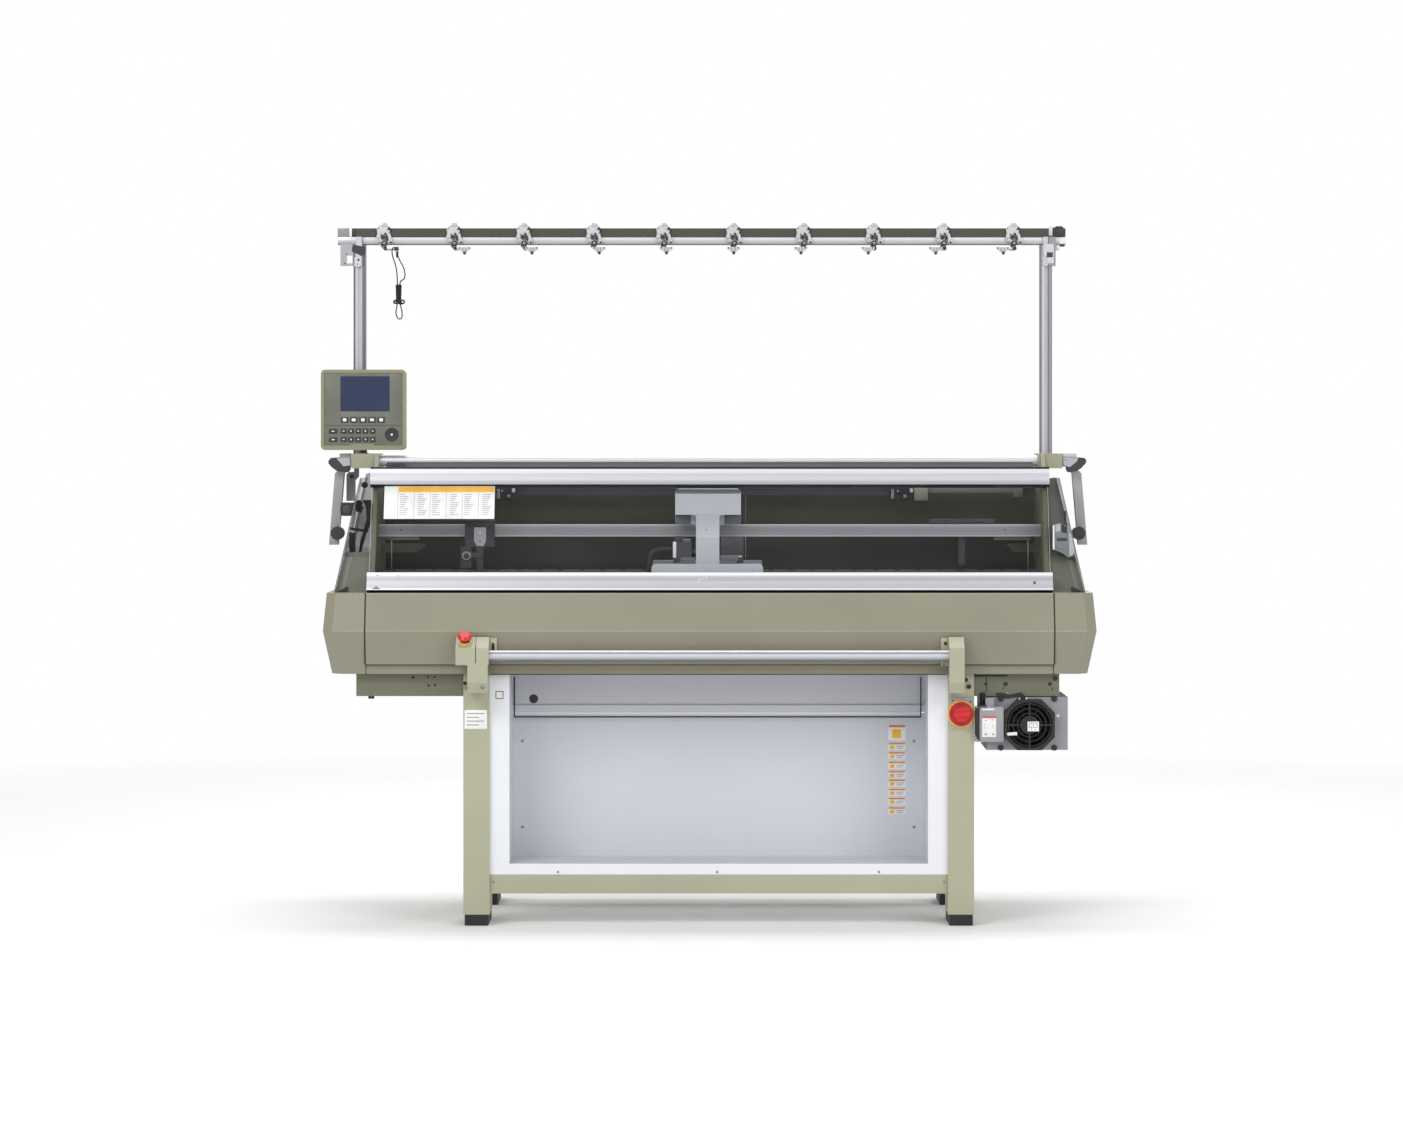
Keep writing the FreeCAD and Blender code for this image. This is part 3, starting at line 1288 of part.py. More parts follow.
def tension_unit(index):
    """One yarn tensioner: hooked plate, dial, knob and a guide arm with its eye."""
    middle = f"unit_first+{index}*unit_pitch"
    back = f"{CHANNEL_FRONT}-0.3"
    front = f"{back}-unit_plate"
    plate = doc.addObject("PartDesign::Body", "UnitPlate")
    add(plate, "y", front, back, [
        (f"{middle}-unit_shift+({across})*unit_width", f"{UNIT_TOP}-({1 - up})*unit_height")
        for across, up in UNIT_OUTLINE
    ])
    hook = block(f"{middle}-unit_hook_half", f"{middle}+unit_hook_half", f"{back}-1", f"{CHANNEL_BACK}-2",
                 f"{CHANNEL_TOP}+0.3", "unit_top-9")
    lug = block(f"{middle}-8", f"{middle}+4", f"{front}-3", f"{back}+8", "unit_top-10", "unit_top")
    disc = rod("y", "unit_disc_radius*0.5", f"{front}-unit_disc_length/2", f"{front}+1",
               f"{middle}-unit_shift", "unit_top-unit_height*0.75")
    knob = rod("y", "unit_disc_radius*0.64", f"{front}-unit_disc_length", f"{front}+3",
               f"{middle}-1.7", "thread_tube_low+4")
    pin = block(f"{middle}-unit_arm_radius", f"{middle}+unit_arm_radius", f"{front}+unit_plate/2-unit_arm_radius",
                f"{front}+unit_plate/2+unit_arm_radius", "thread_tube_low-unit_arm_drop-2", "thread_tube_low+18")
    arm = doc.addObject("Part::Box", "Arm")
    tie(arm, "Length", "unit_arm_length")
    tie(arm, "Width", "2*unit_arm_radius")
    tie(arm, "Height", "2*unit_arm_radius")
    yaw = (index - (SIZES["unit_count"] - 1) / 2) * SIZES["unit_arm_fan"]
    arm.Placement = FreeCAD.Placement(
        FreeCAD.Vector(), FreeCAD.Rotation(FreeCAD.Vector(0, 0, 1), -90 - yaw))
    tie(arm, "Placement.Base.x", f"{middle}-unit_arm_radius*cos({yaw})")
    tie(arm, "Placement.Base.y", f"{front}+unit_plate/2+unit_arm_radius*sin({yaw})")
    tie(arm, "Placement.Base.z", "thread_tube_low-unit_arm_drop-2*unit_arm_radius")
    tip_x = f"{middle}+(unit_arm_length-4)*sin({-yaw})"
    tip_y = f"{front}+unit_plate/2-(unit_arm_length-4)*cos({yaw})"
    eye = prism("z", "unit_arm_radius*2.4", "thread_tube_low-unit_arm_drop-9",
                "thread_tube_low-unit_arm_drop+2", tip_x, tip_y)
    return fuse(plate, hook, lug, disc, knob, pin, arm, eye)


keep(group(*[tension_unit(index) for index in range(SIZES["unit_count"])]), "tension_units")

# ---- control panel on its neck

FACE = "panel_front"
PANEL_TOP = "panel_low+panel_height"
PANEL_MIDDLE = "(panel_left+panel_right)/2"
housing = profile("panel_housing", "y", FACE, f"{FACE}+panel_depth",
                  rect("panel_left", "panel_low", "panel_right", PANEL_TOP))
doc.recompute()
soften(housing, "panel_corner", lambda edge: runs(edge, "y"))
doc.recompute()
back_of_panel = SIZES["panel_front"] + SIZES["panel_depth"]
soften(housing, "panel_corner/2", lambda edge: abs(edge.BoundBox.YMin - back_of_panel) < 0.01
       and abs(edge.BoundBox.YMax - back_of_panel) < 0.01, "Chamfer", "Size")
take(housing, "y", FACE, f"{FACE}+panel_face_depth", rect(
    "panel_left+panel_face_margin", "panel_low+panel_face_margin+4",
    "panel_right-panel_face_margin", f"{PANEL_TOP}-panel_face_margin"))
SCREEN_LEFT = f"{PANEL_MIDDLE}-screen_width/2+5"
SCREEN_LOW = "panel_low+screen_rise-screen_height/2"
take(housing, "y", f"{FACE}+panel_face_depth", f"{FACE}+panel_face_depth+screen_glass",
     rect(SCREEN_LEFT, SCREEN_LOW, f"{SCREEN_LEFT}+screen_width", f"{SCREEN_LOW}+screen_height"))
profile("panel_screen", "y", f"{FACE}+panel_face_depth+0.5", f"{FACE}+panel_face_depth+screen_glass",
        rect(SCREEN_LEFT, SCREEN_LOW, f"{SCREEN_LEFT}+screen_width", f"{SCREEN_LOW}+screen_height"))


def key_row(first, step, count, low, width, height):
    """Raised keys in a row, from the panel's left and lower edges."""
    return [
        rect(f"panel_left+{first}+{i}*{step}", f"panel_low+{low}",
             f"panel_left+{first}+{i}*{step}+{width}", f"panel_low+{low}+{height}")
        for i in range(count)
    ]


KEYS = key_row("key_left", "function_key_step", 5, "function_key_low", "function_key_width", "function_key_tall")
for level in ("key_low", "key_upper"):
    KEYS += key_row("key_left", "key_step", 5, level, "key_width", "key_tall")
    KEYS += key_row("side_key_left", "key_step", 1, level, "side_key_width", "side_key_tall")
take_back = f"{FACE}+panel_face_depth"
add(housing, "y", f"{take_back}-key_height/2", f"{take_back}+1", *KEYS)
add(housing, "y", f"{take_back}-key_height/2", f"{take_back}+1",
    ("panel_left+pad_side", "panel_low+pad_rise", "pad_radius"))
ROOM = "tongue_half+slide_gap+0.7"
take(housing, "x", f"neck_x-({ROOM})", f"neck_x+({ROOM})", rect(
    "neck_y-tongue_room", "panel_low-1", "neck_y+tongue_room", "tilt_height+tongue_room"))
take(housing, "x", "neck_x-tilt_pin_half-1", "neck_x+tilt_pin_half+1",
     ("neck_y", "tilt_height", "tilt_pin_radius+bore_gap"))

yoke = keep(fuse(
    rod("z", "neck_radius", "knuckle_top+slide_gap", "panel_low-7.5", "neck_x", "neck_y"),
    block("neck_x-tongue_half", "neck_x+tongue_half", "neck_y-tongue_radius+1", "neck_y+tongue_radius-1",
          "panel_low-9", "tilt_height"),
    rod("x", "tongue_radius", "neck_x-tongue_half", "neck_x+tongue_half", "neck_y", "tilt_height"),
    rod("x", "tilt_pin_radius", "neck_x-tilt_pin_half", "neck_x+tilt_pin_half", "neck_y", "tilt_height"),
), "panel_yoke")

# ---- start bar with its brackets, stop button and main switch

BRACKET_SECTION = [
    ("leg_front", "bracket_foot"), ("leg_front", "bracket_step"), ("bracket_inner", "bracket_step"),
    ("bracket_inner", "bracket_split"), ("bracket_front", "bracket_split"),
    ("bracket_front", "bracket_foot+30"), ("bracket_front+24", "bracket_foot"),
]


def bar_bracket(arm_start, arm_end, head_start, head_end, socket_low, socket_high):
    """A bracket on the leg's front, reaching under the cover and up to the bar."""
    body = doc.addObject("PartDesign::Body", "Bracket")
    add(body, "x", arm_start, arm_end, BRACKET_SECTION)
    add(body, "x", head_start, head_end, [
        ("bracket_front", "bracket_split"), ("bracket_inner", "bracket_split"), ("bracket_inner", "bracket_head"),
        ("bracket_inner-bracket_land", "bracket_head"), ("bracket_front", "bracket_head-bracket_slope"),
    ])
    doc.recompute()
    soften(body, "bracket_fillet/3", lambda edge: runs(edge, "x")
           and edge.CenterOfMass.z > SIZES["bracket_step"] + SIZES["bar_socket"] * 4
           and edge.CenterOfMass.y < SIZES["bracket_inner"] - 1)
    take(body, "x", socket_low, socket_high, ("bar_depth", "bar_height", "bar_radius+bore_gap"))
    return body


LEFT_SOCKET = "bar_start-bar_socket"
RIGHT_SOCKET = "bar_end+bar_socket"
left_bracket = bar_bracket("left_arm_start", "left_arm_end", "left_box_start", "bar_start",
                           f"{LEFT_SOCKET}-slide_gap", "bar_start+1")
keep(bar_bracket("right_head_start", "right_head_end", "right_head_start", "right_head_end",
                 "bar_end-1", f"{RIGHT_SOCKET}+slide_gap"), "right_bar_bracket")


def stop_rod(radius, low, high):
    """A rod on the stop button's leaning axis, from low to high over the bracket's slope."""
    piece = doc.addObject("Part::Cylinder", "StopRod")
    tie(piece, "Radius", radius)
    tie(piece, "Height", f"({high})-({low})")
    piece.Placement.Rotation = FreeCAD.Rotation(FreeCAD.Vector(1, 0, 0), SIZES["stop_tilt"])
    tie(piece, "Placement.Base.x", "stop_x")
    tie(piece, "Placement.Base.y",
        f"(bracket_front+bracket_inner-bracket_land)/2-({low})*sin(stop_tilt)")
    tie(piece, "Placement.Base.z", f"bracket_head-bracket_slope/2+({low})*cos(stop_tilt)")
    return piece


keep(cut(fuse(left_bracket, stop_rod("stop_collar", "-stop_collar_sink", "stop_collar_height")),
         stop_rod("stop_stem+bore_gap", "-stop_sink-stop_travel-1", "stop_collar_height+1")), "left_bar_bracket")
keep(rod("x", "bar_radius", LEFT_SOCKET, RIGHT_SOCKET, "bar_depth", "bar_height"), "start_bar")

CAP_LOW = "stop_collar_height+stop_travel+1"
stop_parts = [
    stop_rod("stop_stem", "-stop_sink", f"{CAP_LOW}+1"),
    stop_rod("stop_radius", CAP_LOW, f"{CAP_LOW}+stop_cap"),
]
stop_body = doc.addObject("Part::Chamfer", "BevelledCap")
stop_body.Base = stop_parts[1]
doc.recompute()
cap_top = max(edge.CenterOfMass.z for edge in stop_parts[1].Shape.Edges)
stop_body.Edges = [
    (i, SIZES["stop_cap"] * 0.5, SIZES["stop_cap"] * 0.5)
    for i, edge in enumerate(stop_parts[1].Shape.Edges, 1) if abs(edge.CenterOfMass.z - cap_top) < 0.01
]
keep(fuse(stop_parts[0], stop_body), "estop_button")

KNOB_BACK = "leg_front-switch_plate_wall-slide_gap"
keep(fuse(
    rod("y", "switch_radius", f"{KNOB_BACK}-switch_disc", KNOB_BACK, "switch_x", "switch_height"),
    block("switch_x-switch_grip_width/2", "switch_x+switch_grip_width/2",
          f"{KNOB_BACK}-switch_disc-switch_grip", f"{KNOB_BACK}-switch_disc+1",
          "switch_height-switch_radius*0.85", "switch_height+switch_radius*0.85"),
), "switch_knob")

# ---- cooling fan unit under the right end

FAN_RIGHT = "fan_box_start+fan_box_width"
FAN_TOP = "fan_box_low+fan_box_height"
fan_box = profile("fan_box", "y", "fan_box_front", "fan_box_front+fan_box_depth",
                  rect("fan_box_start", "fan_box_low", FAN_RIGHT, FAN_TOP))
take(fan_box, "y", "fan_box_front", "fan_box_front+fan_box_depth-sheet_wall", rect(
    "fan_box_start+sheet_wall", "fan_box_low+sheet_wall", f"{FAN_RIGHT}-sheet_wall", f"{FAN_TOP}-sheet_wall"))
add(fan_box, "y", "fan_box_front", "fan_box_front+sheet_wall",
    rect("fan_box_start+1", "fan_box_low+1", f"{FAN_RIGHT}-1", f"{FAN_TOP}-1"),
    ("fan_x", "fan_height", "fan_duct"))
add(fan_box, "z", f"{FAN_TOP}-1", "under_box_low",
    rect("fan_box_start+10", "under_box_front+40", "fan_box_start+40", "under_box_front+160"),
    rect("fan_box_start+150", "under_box_front+40", "fan_box_start+180", "under_box_front+160"))


def octagon(across):
    """Corner points of the fan's frame: a square with cut corners."""
    half, short = f"({across})/2", f"({across})/2-fan_corner_cut"
    return [
        (f"fan_x+({a})", f"fan_height+({b})") for a, b in (
            (f"-({short})", f"-{half}"), (short, f"-{half}"), (half, f"-({short})"), (half, short),
            (short, half), (f"-({short})", half), (f"-{half}", short), (f"-{half}", f"-({short})"))
    ]


FAN_FRONT = "fan_box_front-fan_frame_depth"
guard = profile("fan_guard", "y", FAN_FRONT, "fan_box_front", octagon("fan_across"),
                ("fan_x", "fan_height", "fan_duct"))
add(guard, "y", FAN_FRONT, f"{FAN_FRONT}+guard_bar",
    ("fan_x", "fan_height", "fan_hub"))
for ring in range(SIZES["guard_rings"]):
    reach = f"fan_hub+{ring}*guard_ring_step+6"
    add(guard, "y", FAN_FRONT, f"{FAN_FRONT}+guard_bar",
        ("fan_x", "fan_height", f"{reach}+guard_bar"), ("fan_x", "fan_height", reach))
for across_x, across_z in ((1, 0), (0, 1)):
    wide, tall = ("fan_duct+1", "guard_bar") if across_x else ("guard_bar", "fan_duct+1")
    add(guard, "y", FAN_FRONT, f"{FAN_FRONT}+guard_bar+1", rect(
        f"fan_x-({wide})", f"fan_height-({tall})", f"fan_x+({wide})", f"fan_height+({tall})"))
doc.recompute()


def fan_rotor():
    """Hub with twisted blades, on a stub axle that reaches the guard's hub."""
    hub_front = f"{FAN_FRONT}+guard_bar+1.5"
    pieces = [rod("y", "fan_hub-2", hub_front, "fan_box_front-3", "fan_x", "fan_height")]
    for index in range(SIZES["fan_blades"]):
        turn = 360 * index / SIZES["fan_blades"]
        blade = doc.addObject("Part::Box", "Blade")
        tie(blade, "Length", "fan_blade_reach-fan_hub+6")
        tie(blade, "Width", "fan_blade_wall")
        tie(blade, "Height", "fan_blade_chord")
        around = FreeCAD.Rotation(FreeCAD.Vector(0, 1, 0), turn)
        twist = FreeCAD.Rotation(FreeCAD.Vector(1, 0, 0), 90 - SIZES["fan_blade_twist"])
        blade.Placement = FreeCAD.Placement(FreeCAD.Vector(), around * twist)
        shift = around.multVec(FreeCAD.Vector(SIZES["fan_hub"] - 6, 0, 0))
        sink = around.multVec(twist.multVec(FreeCAD.Vector(0, 0, -SIZES["fan_blade_chord"] / 2)))
        tie(blade, "Placement.Base.x", f"fan_x+({shift.x + sink.x})")
        tie(blade, "Placement.Base.y", f"fan_box_front-fan_frame_depth/2+1.5+({shift.y + sink.y})")
        tie(blade, "Placement.Base.z", f"fan_height+({shift.z + sink.z})")
        pieces.append(blade)
    return keep(fuse(*pieces), "fan_rotor")


fan_rotor()

CONNECTOR_TOP = "connector_low+connector_height"
keep(fuse(
    block("connector_start", "connector_start+connector_width", "fan_box_front-connector_depth",
          "fan_box_front", "connector_low", CONNECTOR_TOP),
    rod("z", "conduit_radius", f"{CONNECTOR_TOP}-2", "under_box_low", "conduit_x",
        "fan_box_front-connector_depth/2+25"),
    block("conduit_x-10", "conduit_x+16", "fan_box_front-connector_depth/2+12", "fan_box_front+20",
          f"{CONNECTOR_TOP}-16", f"{CONNECTOR_TOP}-1"),
), "connector_box")

# ---- cord that hangs from the first tension unit's arm


def rounded_path(points):
    """Straight runs joined by tangent arcs, each as large as its two runs allow."""
    edges, radii, last = [], [], points[0]
    for before, corner, after in zip(points, points[1:], points[2:]):
        back, ahead = before - corner, after - corner
        run = min(back.Length, ahead.Length)
        half_turn = (math.pi - back.getAngle(ahead)) / 2
        reach = 0.45 * run
        radii.append(reach / math.tan(half_turn))
        back.normalize()
        ahead.normalize()
        enter, leave = corner + back * reach, corner + ahead * reach
        inward = back + ahead
        inward.normalize()
        middle = corner + inward * (radii[-1] / math.cos(half_turn) - radii[-1])
        edges += [Part.LineSegment(last, enter).toShape(), Part.Arc(enter, middle, leave).toShape()]
        last = leave
    edges.append(Part.LineSegment(last, points[-1]).toShape())
    return Part.Wire(edges), radii


def cord(route):
    """A tube along the route, whose points are chosen by hand."""
    points = [FreeCAD.Vector(*place) for place in route]
    path, radii = rounded_path(points)
    ring = facets(SIZES["cord_radius"], points[0], FreeCAD.Vector(1, 0, 0), ACROSS)
    piece = doc.addObject("Part::Feature", "Cord")
    piece.Shape = path.makePipeShell([ring], True, False)
    expected = 2 * math.sqrt(2) * SIZES["cord_radius"] ** 2 * path.Length
    print("cord length", round(path.Length, 1), "volume ratio", round(piece.Shape.Volume / expected, 4),
          "radii", [round(radius, 1) for radius in radii])
    return piece


# Points from the first unit's middle, on the floor's height. The upper loop goes over the arm
# of that unit and down on both sides of it.
UPPER_LOOP = [
    (37, -78.5, 1803.3), (37, -78.5, 1830), (32, -83, 1862), (22, -87.5, 1888),
    (22.5, -87, 1910), (34.5, -77.5, 1910), (37, -76, 1884), (59, -76, 1846),
    (58, -77.5, 1818), (44.4, -78.5, 1816), (44.4, -78.5, 1803.3),
]
LOWER_LOOP = [
    (36.6, -78.5, 1757.5), (36.6, -78.5, 1745), (31.5, -79, 1723), (38.5, -77.5, 1705),
    (50.5, -77.5, 1706), (50.5, -79, 1729), (44.8, -78.5, 1746), (44.8, -78.5, 1757.5),
]
hank = rod("z", "cord_hank_radius", "cord_hank_low", "cord_hank_top", "unit_first+40.6", "-78.5")
loops = [cord(UPPER_LOOP), cord(LOWER_LOOP)]
for loop in loops:
    tie(loop, "Placement.Base.x", "unit_first")
keep(group(loops[0], hank, loops[1]), "hanging_cord")

# ---- check and write

doc.recompute()
for piece in doc.Objects:
    if any(word in piece.State for word in ("Invalid", "Error")):
        raise RuntimeError(f"{piece.Label} ({piece.Name}) failed: {piece.State}")
for piece in SUBPARTS:
    if piece.Shape.isNull() or not piece.Shape.isValid() or not piece.Shape.Solids:
        raise RuntimeError(f"{piece.Label} has no valid solid")

os.makedirs("parts", exist_ok=True)
for piece in SUBPARTS:
    piece.Shape.exportStep(f"parts/{piece.Label}.step")
print(len(SUBPARTS), "sub-parts written")
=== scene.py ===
"""Looks of the flat knitting machine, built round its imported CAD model. Metres, Z up."""
import math

import bmesh
import bpy
from mathutils import Matrix, Vector


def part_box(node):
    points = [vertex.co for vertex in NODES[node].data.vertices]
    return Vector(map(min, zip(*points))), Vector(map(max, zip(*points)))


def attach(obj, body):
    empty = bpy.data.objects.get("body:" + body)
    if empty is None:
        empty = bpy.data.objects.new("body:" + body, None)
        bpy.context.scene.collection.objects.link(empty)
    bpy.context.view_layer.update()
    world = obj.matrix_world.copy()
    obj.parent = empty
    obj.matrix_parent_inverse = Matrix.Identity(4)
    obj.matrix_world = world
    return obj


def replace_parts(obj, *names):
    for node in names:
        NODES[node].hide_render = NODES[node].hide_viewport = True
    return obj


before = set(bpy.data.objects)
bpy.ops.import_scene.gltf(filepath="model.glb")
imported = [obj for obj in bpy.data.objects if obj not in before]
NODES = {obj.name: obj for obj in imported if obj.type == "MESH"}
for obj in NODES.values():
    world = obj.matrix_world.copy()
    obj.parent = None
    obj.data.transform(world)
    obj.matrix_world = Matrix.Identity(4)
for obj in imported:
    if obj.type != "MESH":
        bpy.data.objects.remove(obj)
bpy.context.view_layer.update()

# ---- camera: the photograph's eye, and where its picture points lie on a plane of given depth

PHOTO_WIDTH = 1403
PHOTO_HEIGHT = 1121
FOCAL = 4464.3
EYE = Vector((0.0305, -12.845, 1.3852))
VANISH = (716.0, 431.0)
SENSOR = 36.0


def seen(px, py, depth):
    """x and z of a picture point on the plane y = depth."""
    step = (depth - EYE.y) / FOCAL
    return EYE.x + (px - VANISH[0]) * step, EYE.z + (VANISH[1] - py) * step


def seen_box(px0, py0, px1, py1, depth):
    """Lowest and highest x and z of a picture rectangle on the plane y = depth."""
    x0, z1 = seen(px0, py0, depth)
    x1, z0 = seen(px1, py1, depth)
    return x0, x1, z0, z1


def linked(name, data):
    """A new object of the data, in the scene."""
    thing = bpy.data.objects.new(name, data)
    bpy.context.scene.collection.objects.link(thing)
    return thing


camera = linked("camera", bpy.data.cameras.new("camera"))
camera.location = EYE
camera.rotation_euler = (math.pi / 2, 0, 0)
camera.data.sensor_width = SENSOR
camera.data.lens = FOCAL / PHOTO_WIDTH * SENSOR
camera.data.shift_x = (PHOTO_WIDTH / 2 - VANISH[0]) / PHOTO_WIDTH
camera.data.shift_y = (VANISH[1] - PHOTO_HEIGHT / 2) / PHOTO_WIDTH
camera.data.clip_end = 100
bpy.context.scene.camera = camera
bpy.context.scene.view_settings.view_transform = "Standard"

# ---- materials


def srgb(red, green, blue):
    """A colour written as 0 to 255, as linear light."""
    def linear(value):
        value /= 255
        return value / 12.92 if value <= 0.04045 else ((value + 0.055) / 1.055) ** 2.4
    return (linear(red), linear(green), linear(blue), 1)


class Finish:
    """A material's nodes, added one by one round a Principled shader."""

    def __init__(self, name):
        self.material = bpy.data.materials.new(name)
        self.material.use_nodes = True
        self.tree = self.material.node_tree
        self.shader = self.tree.nodes["Principled BSDF"]
        self.place = self.add("ShaderNodeTexCoord").outputs["Object"]

    def add(self, kind, **settings):
        node = self.tree.nodes.new(kind)
        for key, value in settings.items():
            setattr(node, key, value)
        return node

    def link(self, start, end):
        self.tree.links.new(start, end)

    def noise(self, scale, detail=3, stretch=(1, 1, 1)):
        mapping = self.add("ShaderNodeMapping")
        mapping.inputs["Scale"].default_value = stretch
        self.link(self.place, mapping.inputs["Vector"])
        texture = self.add("ShaderNodeTexNoise")
        texture.inputs["Scale"].default_value = scale
        texture.inputs["Detail"].default_value = detail
        self.link(mapping.outputs["Vector"], texture.inputs["Vector"])
        return texture.outputs["Fac"]

    def spread(self, factor, low, high, start=0.3, end=0.7):
        """factor from start to end becomes a number from low to high."""
        node = self.add("ShaderNodeMapRange")
        for key, value in (("From Min", start), ("From Max", end), ("To Min", low), ("To Max", high)):
            node.inputs[key].default_value = value
        self.link(factor, node.inputs["Value"])
        return node.outputs["Result"]

    def mix(self, factor, first, second):
        node = self.add("ShaderNodeMix", data_type="RGBA")
        for index, value in ((6, first), (7, second)):
            if isinstance(value, tuple):
                node.inputs[index].default_value = value
            else:
                self.link(value, node.inputs[index])
        self.link(factor, node.inputs[0])
        return node.outputs[2]

    def bands(self, axis, stops):
        """Colour by place along an axis of the object, from stops of (metres, colour)."""
        parts = self.add("ShaderNodeSeparateXYZ")
        self.link(self.place, parts.inputs[0])
        low, high = stops[0][0], stops[-1][0]
        ramp = self.add("ShaderNodeValToRGB")
        self.link(self.spread(parts.outputs[axis], 0, 1, low, high), ramp.inputs[0])
        elements = ramp.color_ramp.elements
        elements[0].color, elements[1].color = stops[0][1], stops[-1][1]
        for place, colour in stops[1:-1]:
            elements.new((place - low) / (high - low)).color = colour
        return ramp.outputs[0]

    def bump(self, height, strength, distance):
        node = self.add("ShaderNodeBump")
        node.inputs["Strength"].default_value = strength
        node.inputs["Distance"].default_value = distance
        self.link(height, node.inputs["Height"])
        self.link(node.outputs["Normal"], self.shader.inputs["Normal"])

    def base(self, colour):
        self.link(colour, self.shader.inputs["Base Color"])

    def rough(self, value):
        self.link(value, self.shader.inputs["Roughness"])

    def set(self, **values):
        for key, value in values.items():
            self.shader.inputs[key.replace("_", " ")].default_value = value


def shade(colour, factor):
    """A linear colour made lighter or darker."""
    return tuple(min(1, channel * factor) for channel in colour[:3]) + (1,)


def paint(name, colour, rough=0.45, peel=0.25, dust=0.06):
    """Sprayed paint: fine orange peel, slow drift of colour and a little dust."""
    f = Finish(name)
    colour = srgb(*colour)
    drift = f.mix(f.spread(f.noise(3.1, 4), 0, 1), shade(colour, 1 - dust), shade(colour, 1 + dust * 0.6))
    specks = f.mix(f.spread(f.noise(420, 2), 0, 0.22, 0.55, 0.8), drift, shade(colour, 0.86))
    f.base(specks)
    f.rough(f.spread(f.noise(9, 3), rough - 0.07, rough + 0.09))
    f.bump(f.noise(650, 2), peel, 0.0006)
    return f.material


def paint_split_at_height(name, low_colour, high_colour, height, rough=0.5):
    """Sprayed paint whose colour changes at a height, one colour below it and another above."""
    f = Finish(name)
    low_colour, high_colour = srgb(*low_colour), srgb(*high_colour)
    parts = f.add("ShaderNodeSeparateXYZ")
    f.link(f.place, parts.inputs[0])
    step = f.spread(parts.outputs["Z"], 0, 1, height - 0.0005, height + 0.0005)
    tone = f.mix(step, low_colour, high_colour)
    dust = f.mix(f.spread(f.noise(300, 2), 0, 0.2, 0.5, 0.8), tone, (0.12, 0.12, 0.1, 1))
    f.base(dust)
    f.rough(f.spread(f.noise(9, 3), rough - 0.07, rough + 0.09))
    f.bump(f.noise(650, 2), 0.25, 0.0006)
    return f.material


def metal(name, colour, rough=0.3, along=0, streak=0.05, metallic=0.85):
    """Drawn or brushed metal with streaks along one axis."""
    f = Finish(name)
    colour = srgb(*colour)
    stretch = [90.0, 90.0, 90.0]
    stretch[along] = 0.6
    lines = f.noise(9, 4, tuple(stretch))
    stains = f.spread(f.noise(5, 3), 0, 1)
    base = f.mix(f.spread(lines, 0, 1), shade(colour, 1 - streak), shade(colour, 1 + streak))
    f.base(f.mix(f.spread(stains, 0, 0.35), base, shade(colour, 0.93)))
    f.rough(f.spread(lines, rough - 0.05, rough + 0.08))
    f.bump(lines, 0.12, 0.0003)
    f.set(Metallic=metallic)
    return f.material


def shaded_extrusion(name, axis, along, stops, rough=0.32, metallic=0.5):
    """Anodised extrusion: its ribs and grooves as bands of painted highlight and shade, with fine drawn
    streaks.
    """
    f = Finish(name)
    stretch = [70.0, 70.0, 70.0]
    stretch[along] = 0.5
    lines = f.noise(9, 4, tuple(stretch))
    tone = f.bands(axis, [(place, srgb(grey, grey + 1, grey + 6)) for place, grey in stops])
    f.base(f.mix(f.spread(lines, 0, 0.16), tone, srgb(120, 122, 130)))
    f.rough(f.spread(lines, rough - 0.05, rough + 0.08))
    f.bump(lines, 0.1, 0.0002)
    f.set(Metallic=metallic)
    return f.material


def plastic(name, colour, rough=0.4, grain=0.2, scale=900.0):
    """Moulded plastic with a fine spark-eroded grain and handling marks."""
    f = Finish(name)
    colour = srgb(*colour)
    marks = f.spread(f.noise(14, 4), 0, 1)
    f.base(f.mix(marks, shade(colour, 0.9), shade(colour, 1.12)))
    f.rough(f.spread(f.noise(30, 3), rough - 0.06, rough + 0.08))
    f.bump(f.noise(scale, 2), grain, 0.0005)
    return f.material


def glass(name, colour, rough, alpha, tint):
    """A clear sheet: mostly see-through, with smears and a reflection."""
    f = Finish(name)
    colour, tint = srgb(*colour), srgb(*tint)
    smears = f.spread(f.noise(6, 5, (0.4, 1, 2.2)), 0, 1)
    f.base(f.mix(smears, colour, tint))
    f.rough(f.spread(smears, rough, rough + 0.08, 0, 1))
    f.link(f.spread(smears, alpha * 0.8, alpha * 1.25, 0, 1), f.shader.inputs["Alpha"])
    f.set(IOR=1.49)
    return f.material


OLIVE = (141, 138, 119)
COVER = paint("cover_paint", OLIVE, 0.42)
# Dark seams between covers; the same look draws painted shadow strips where a part shades a gap or an edge.
SEAM_AND_SHADOW = paint("seam_shadow", (26, 26, 22), 0.7)
FRAME = paint("frame_paint", (174, 174, 150), 0.45)
WHITE = paint("bin_paint", (216, 218, 225), 0.5, dust=0.02)
BIN_WHITE_AND_HIGHLIGHT = paint("bin_frame_paint", (236, 237, 242), 0.5, dust=0.02)
# Painted shade: the inner back panel is darker below 1.1 m, deep under the carriage and the needle beds.
INTERIOR = paint_split_at_height("interior_paint", (34, 35, 33), (76, 78, 61), 1.1)
SIDES = paint_split_at_height("side_frame_paint", (92, 92, 74), (160, 159, 136), 1.271)
CHANNEL = paint("channel_paint", (62, 63, 52), 0.5)
DEEP = paint("bed_paint", (44, 45, 40), 0.6)
FAN_PAINT = paint("fan_paint", (146, 148, 152), 0.5)
CASTING = paint("casting_paint", (176, 179, 186), 0.42, 0.4, 0.04)
CASTING_DARK_AND_SHADE = paint("casting_shade", (88, 91, 98), 0.5, 0.4, 0.05)
ARMS = paint("arm_paint", (172, 172, 170), 0.45, 0.3, 0.04)
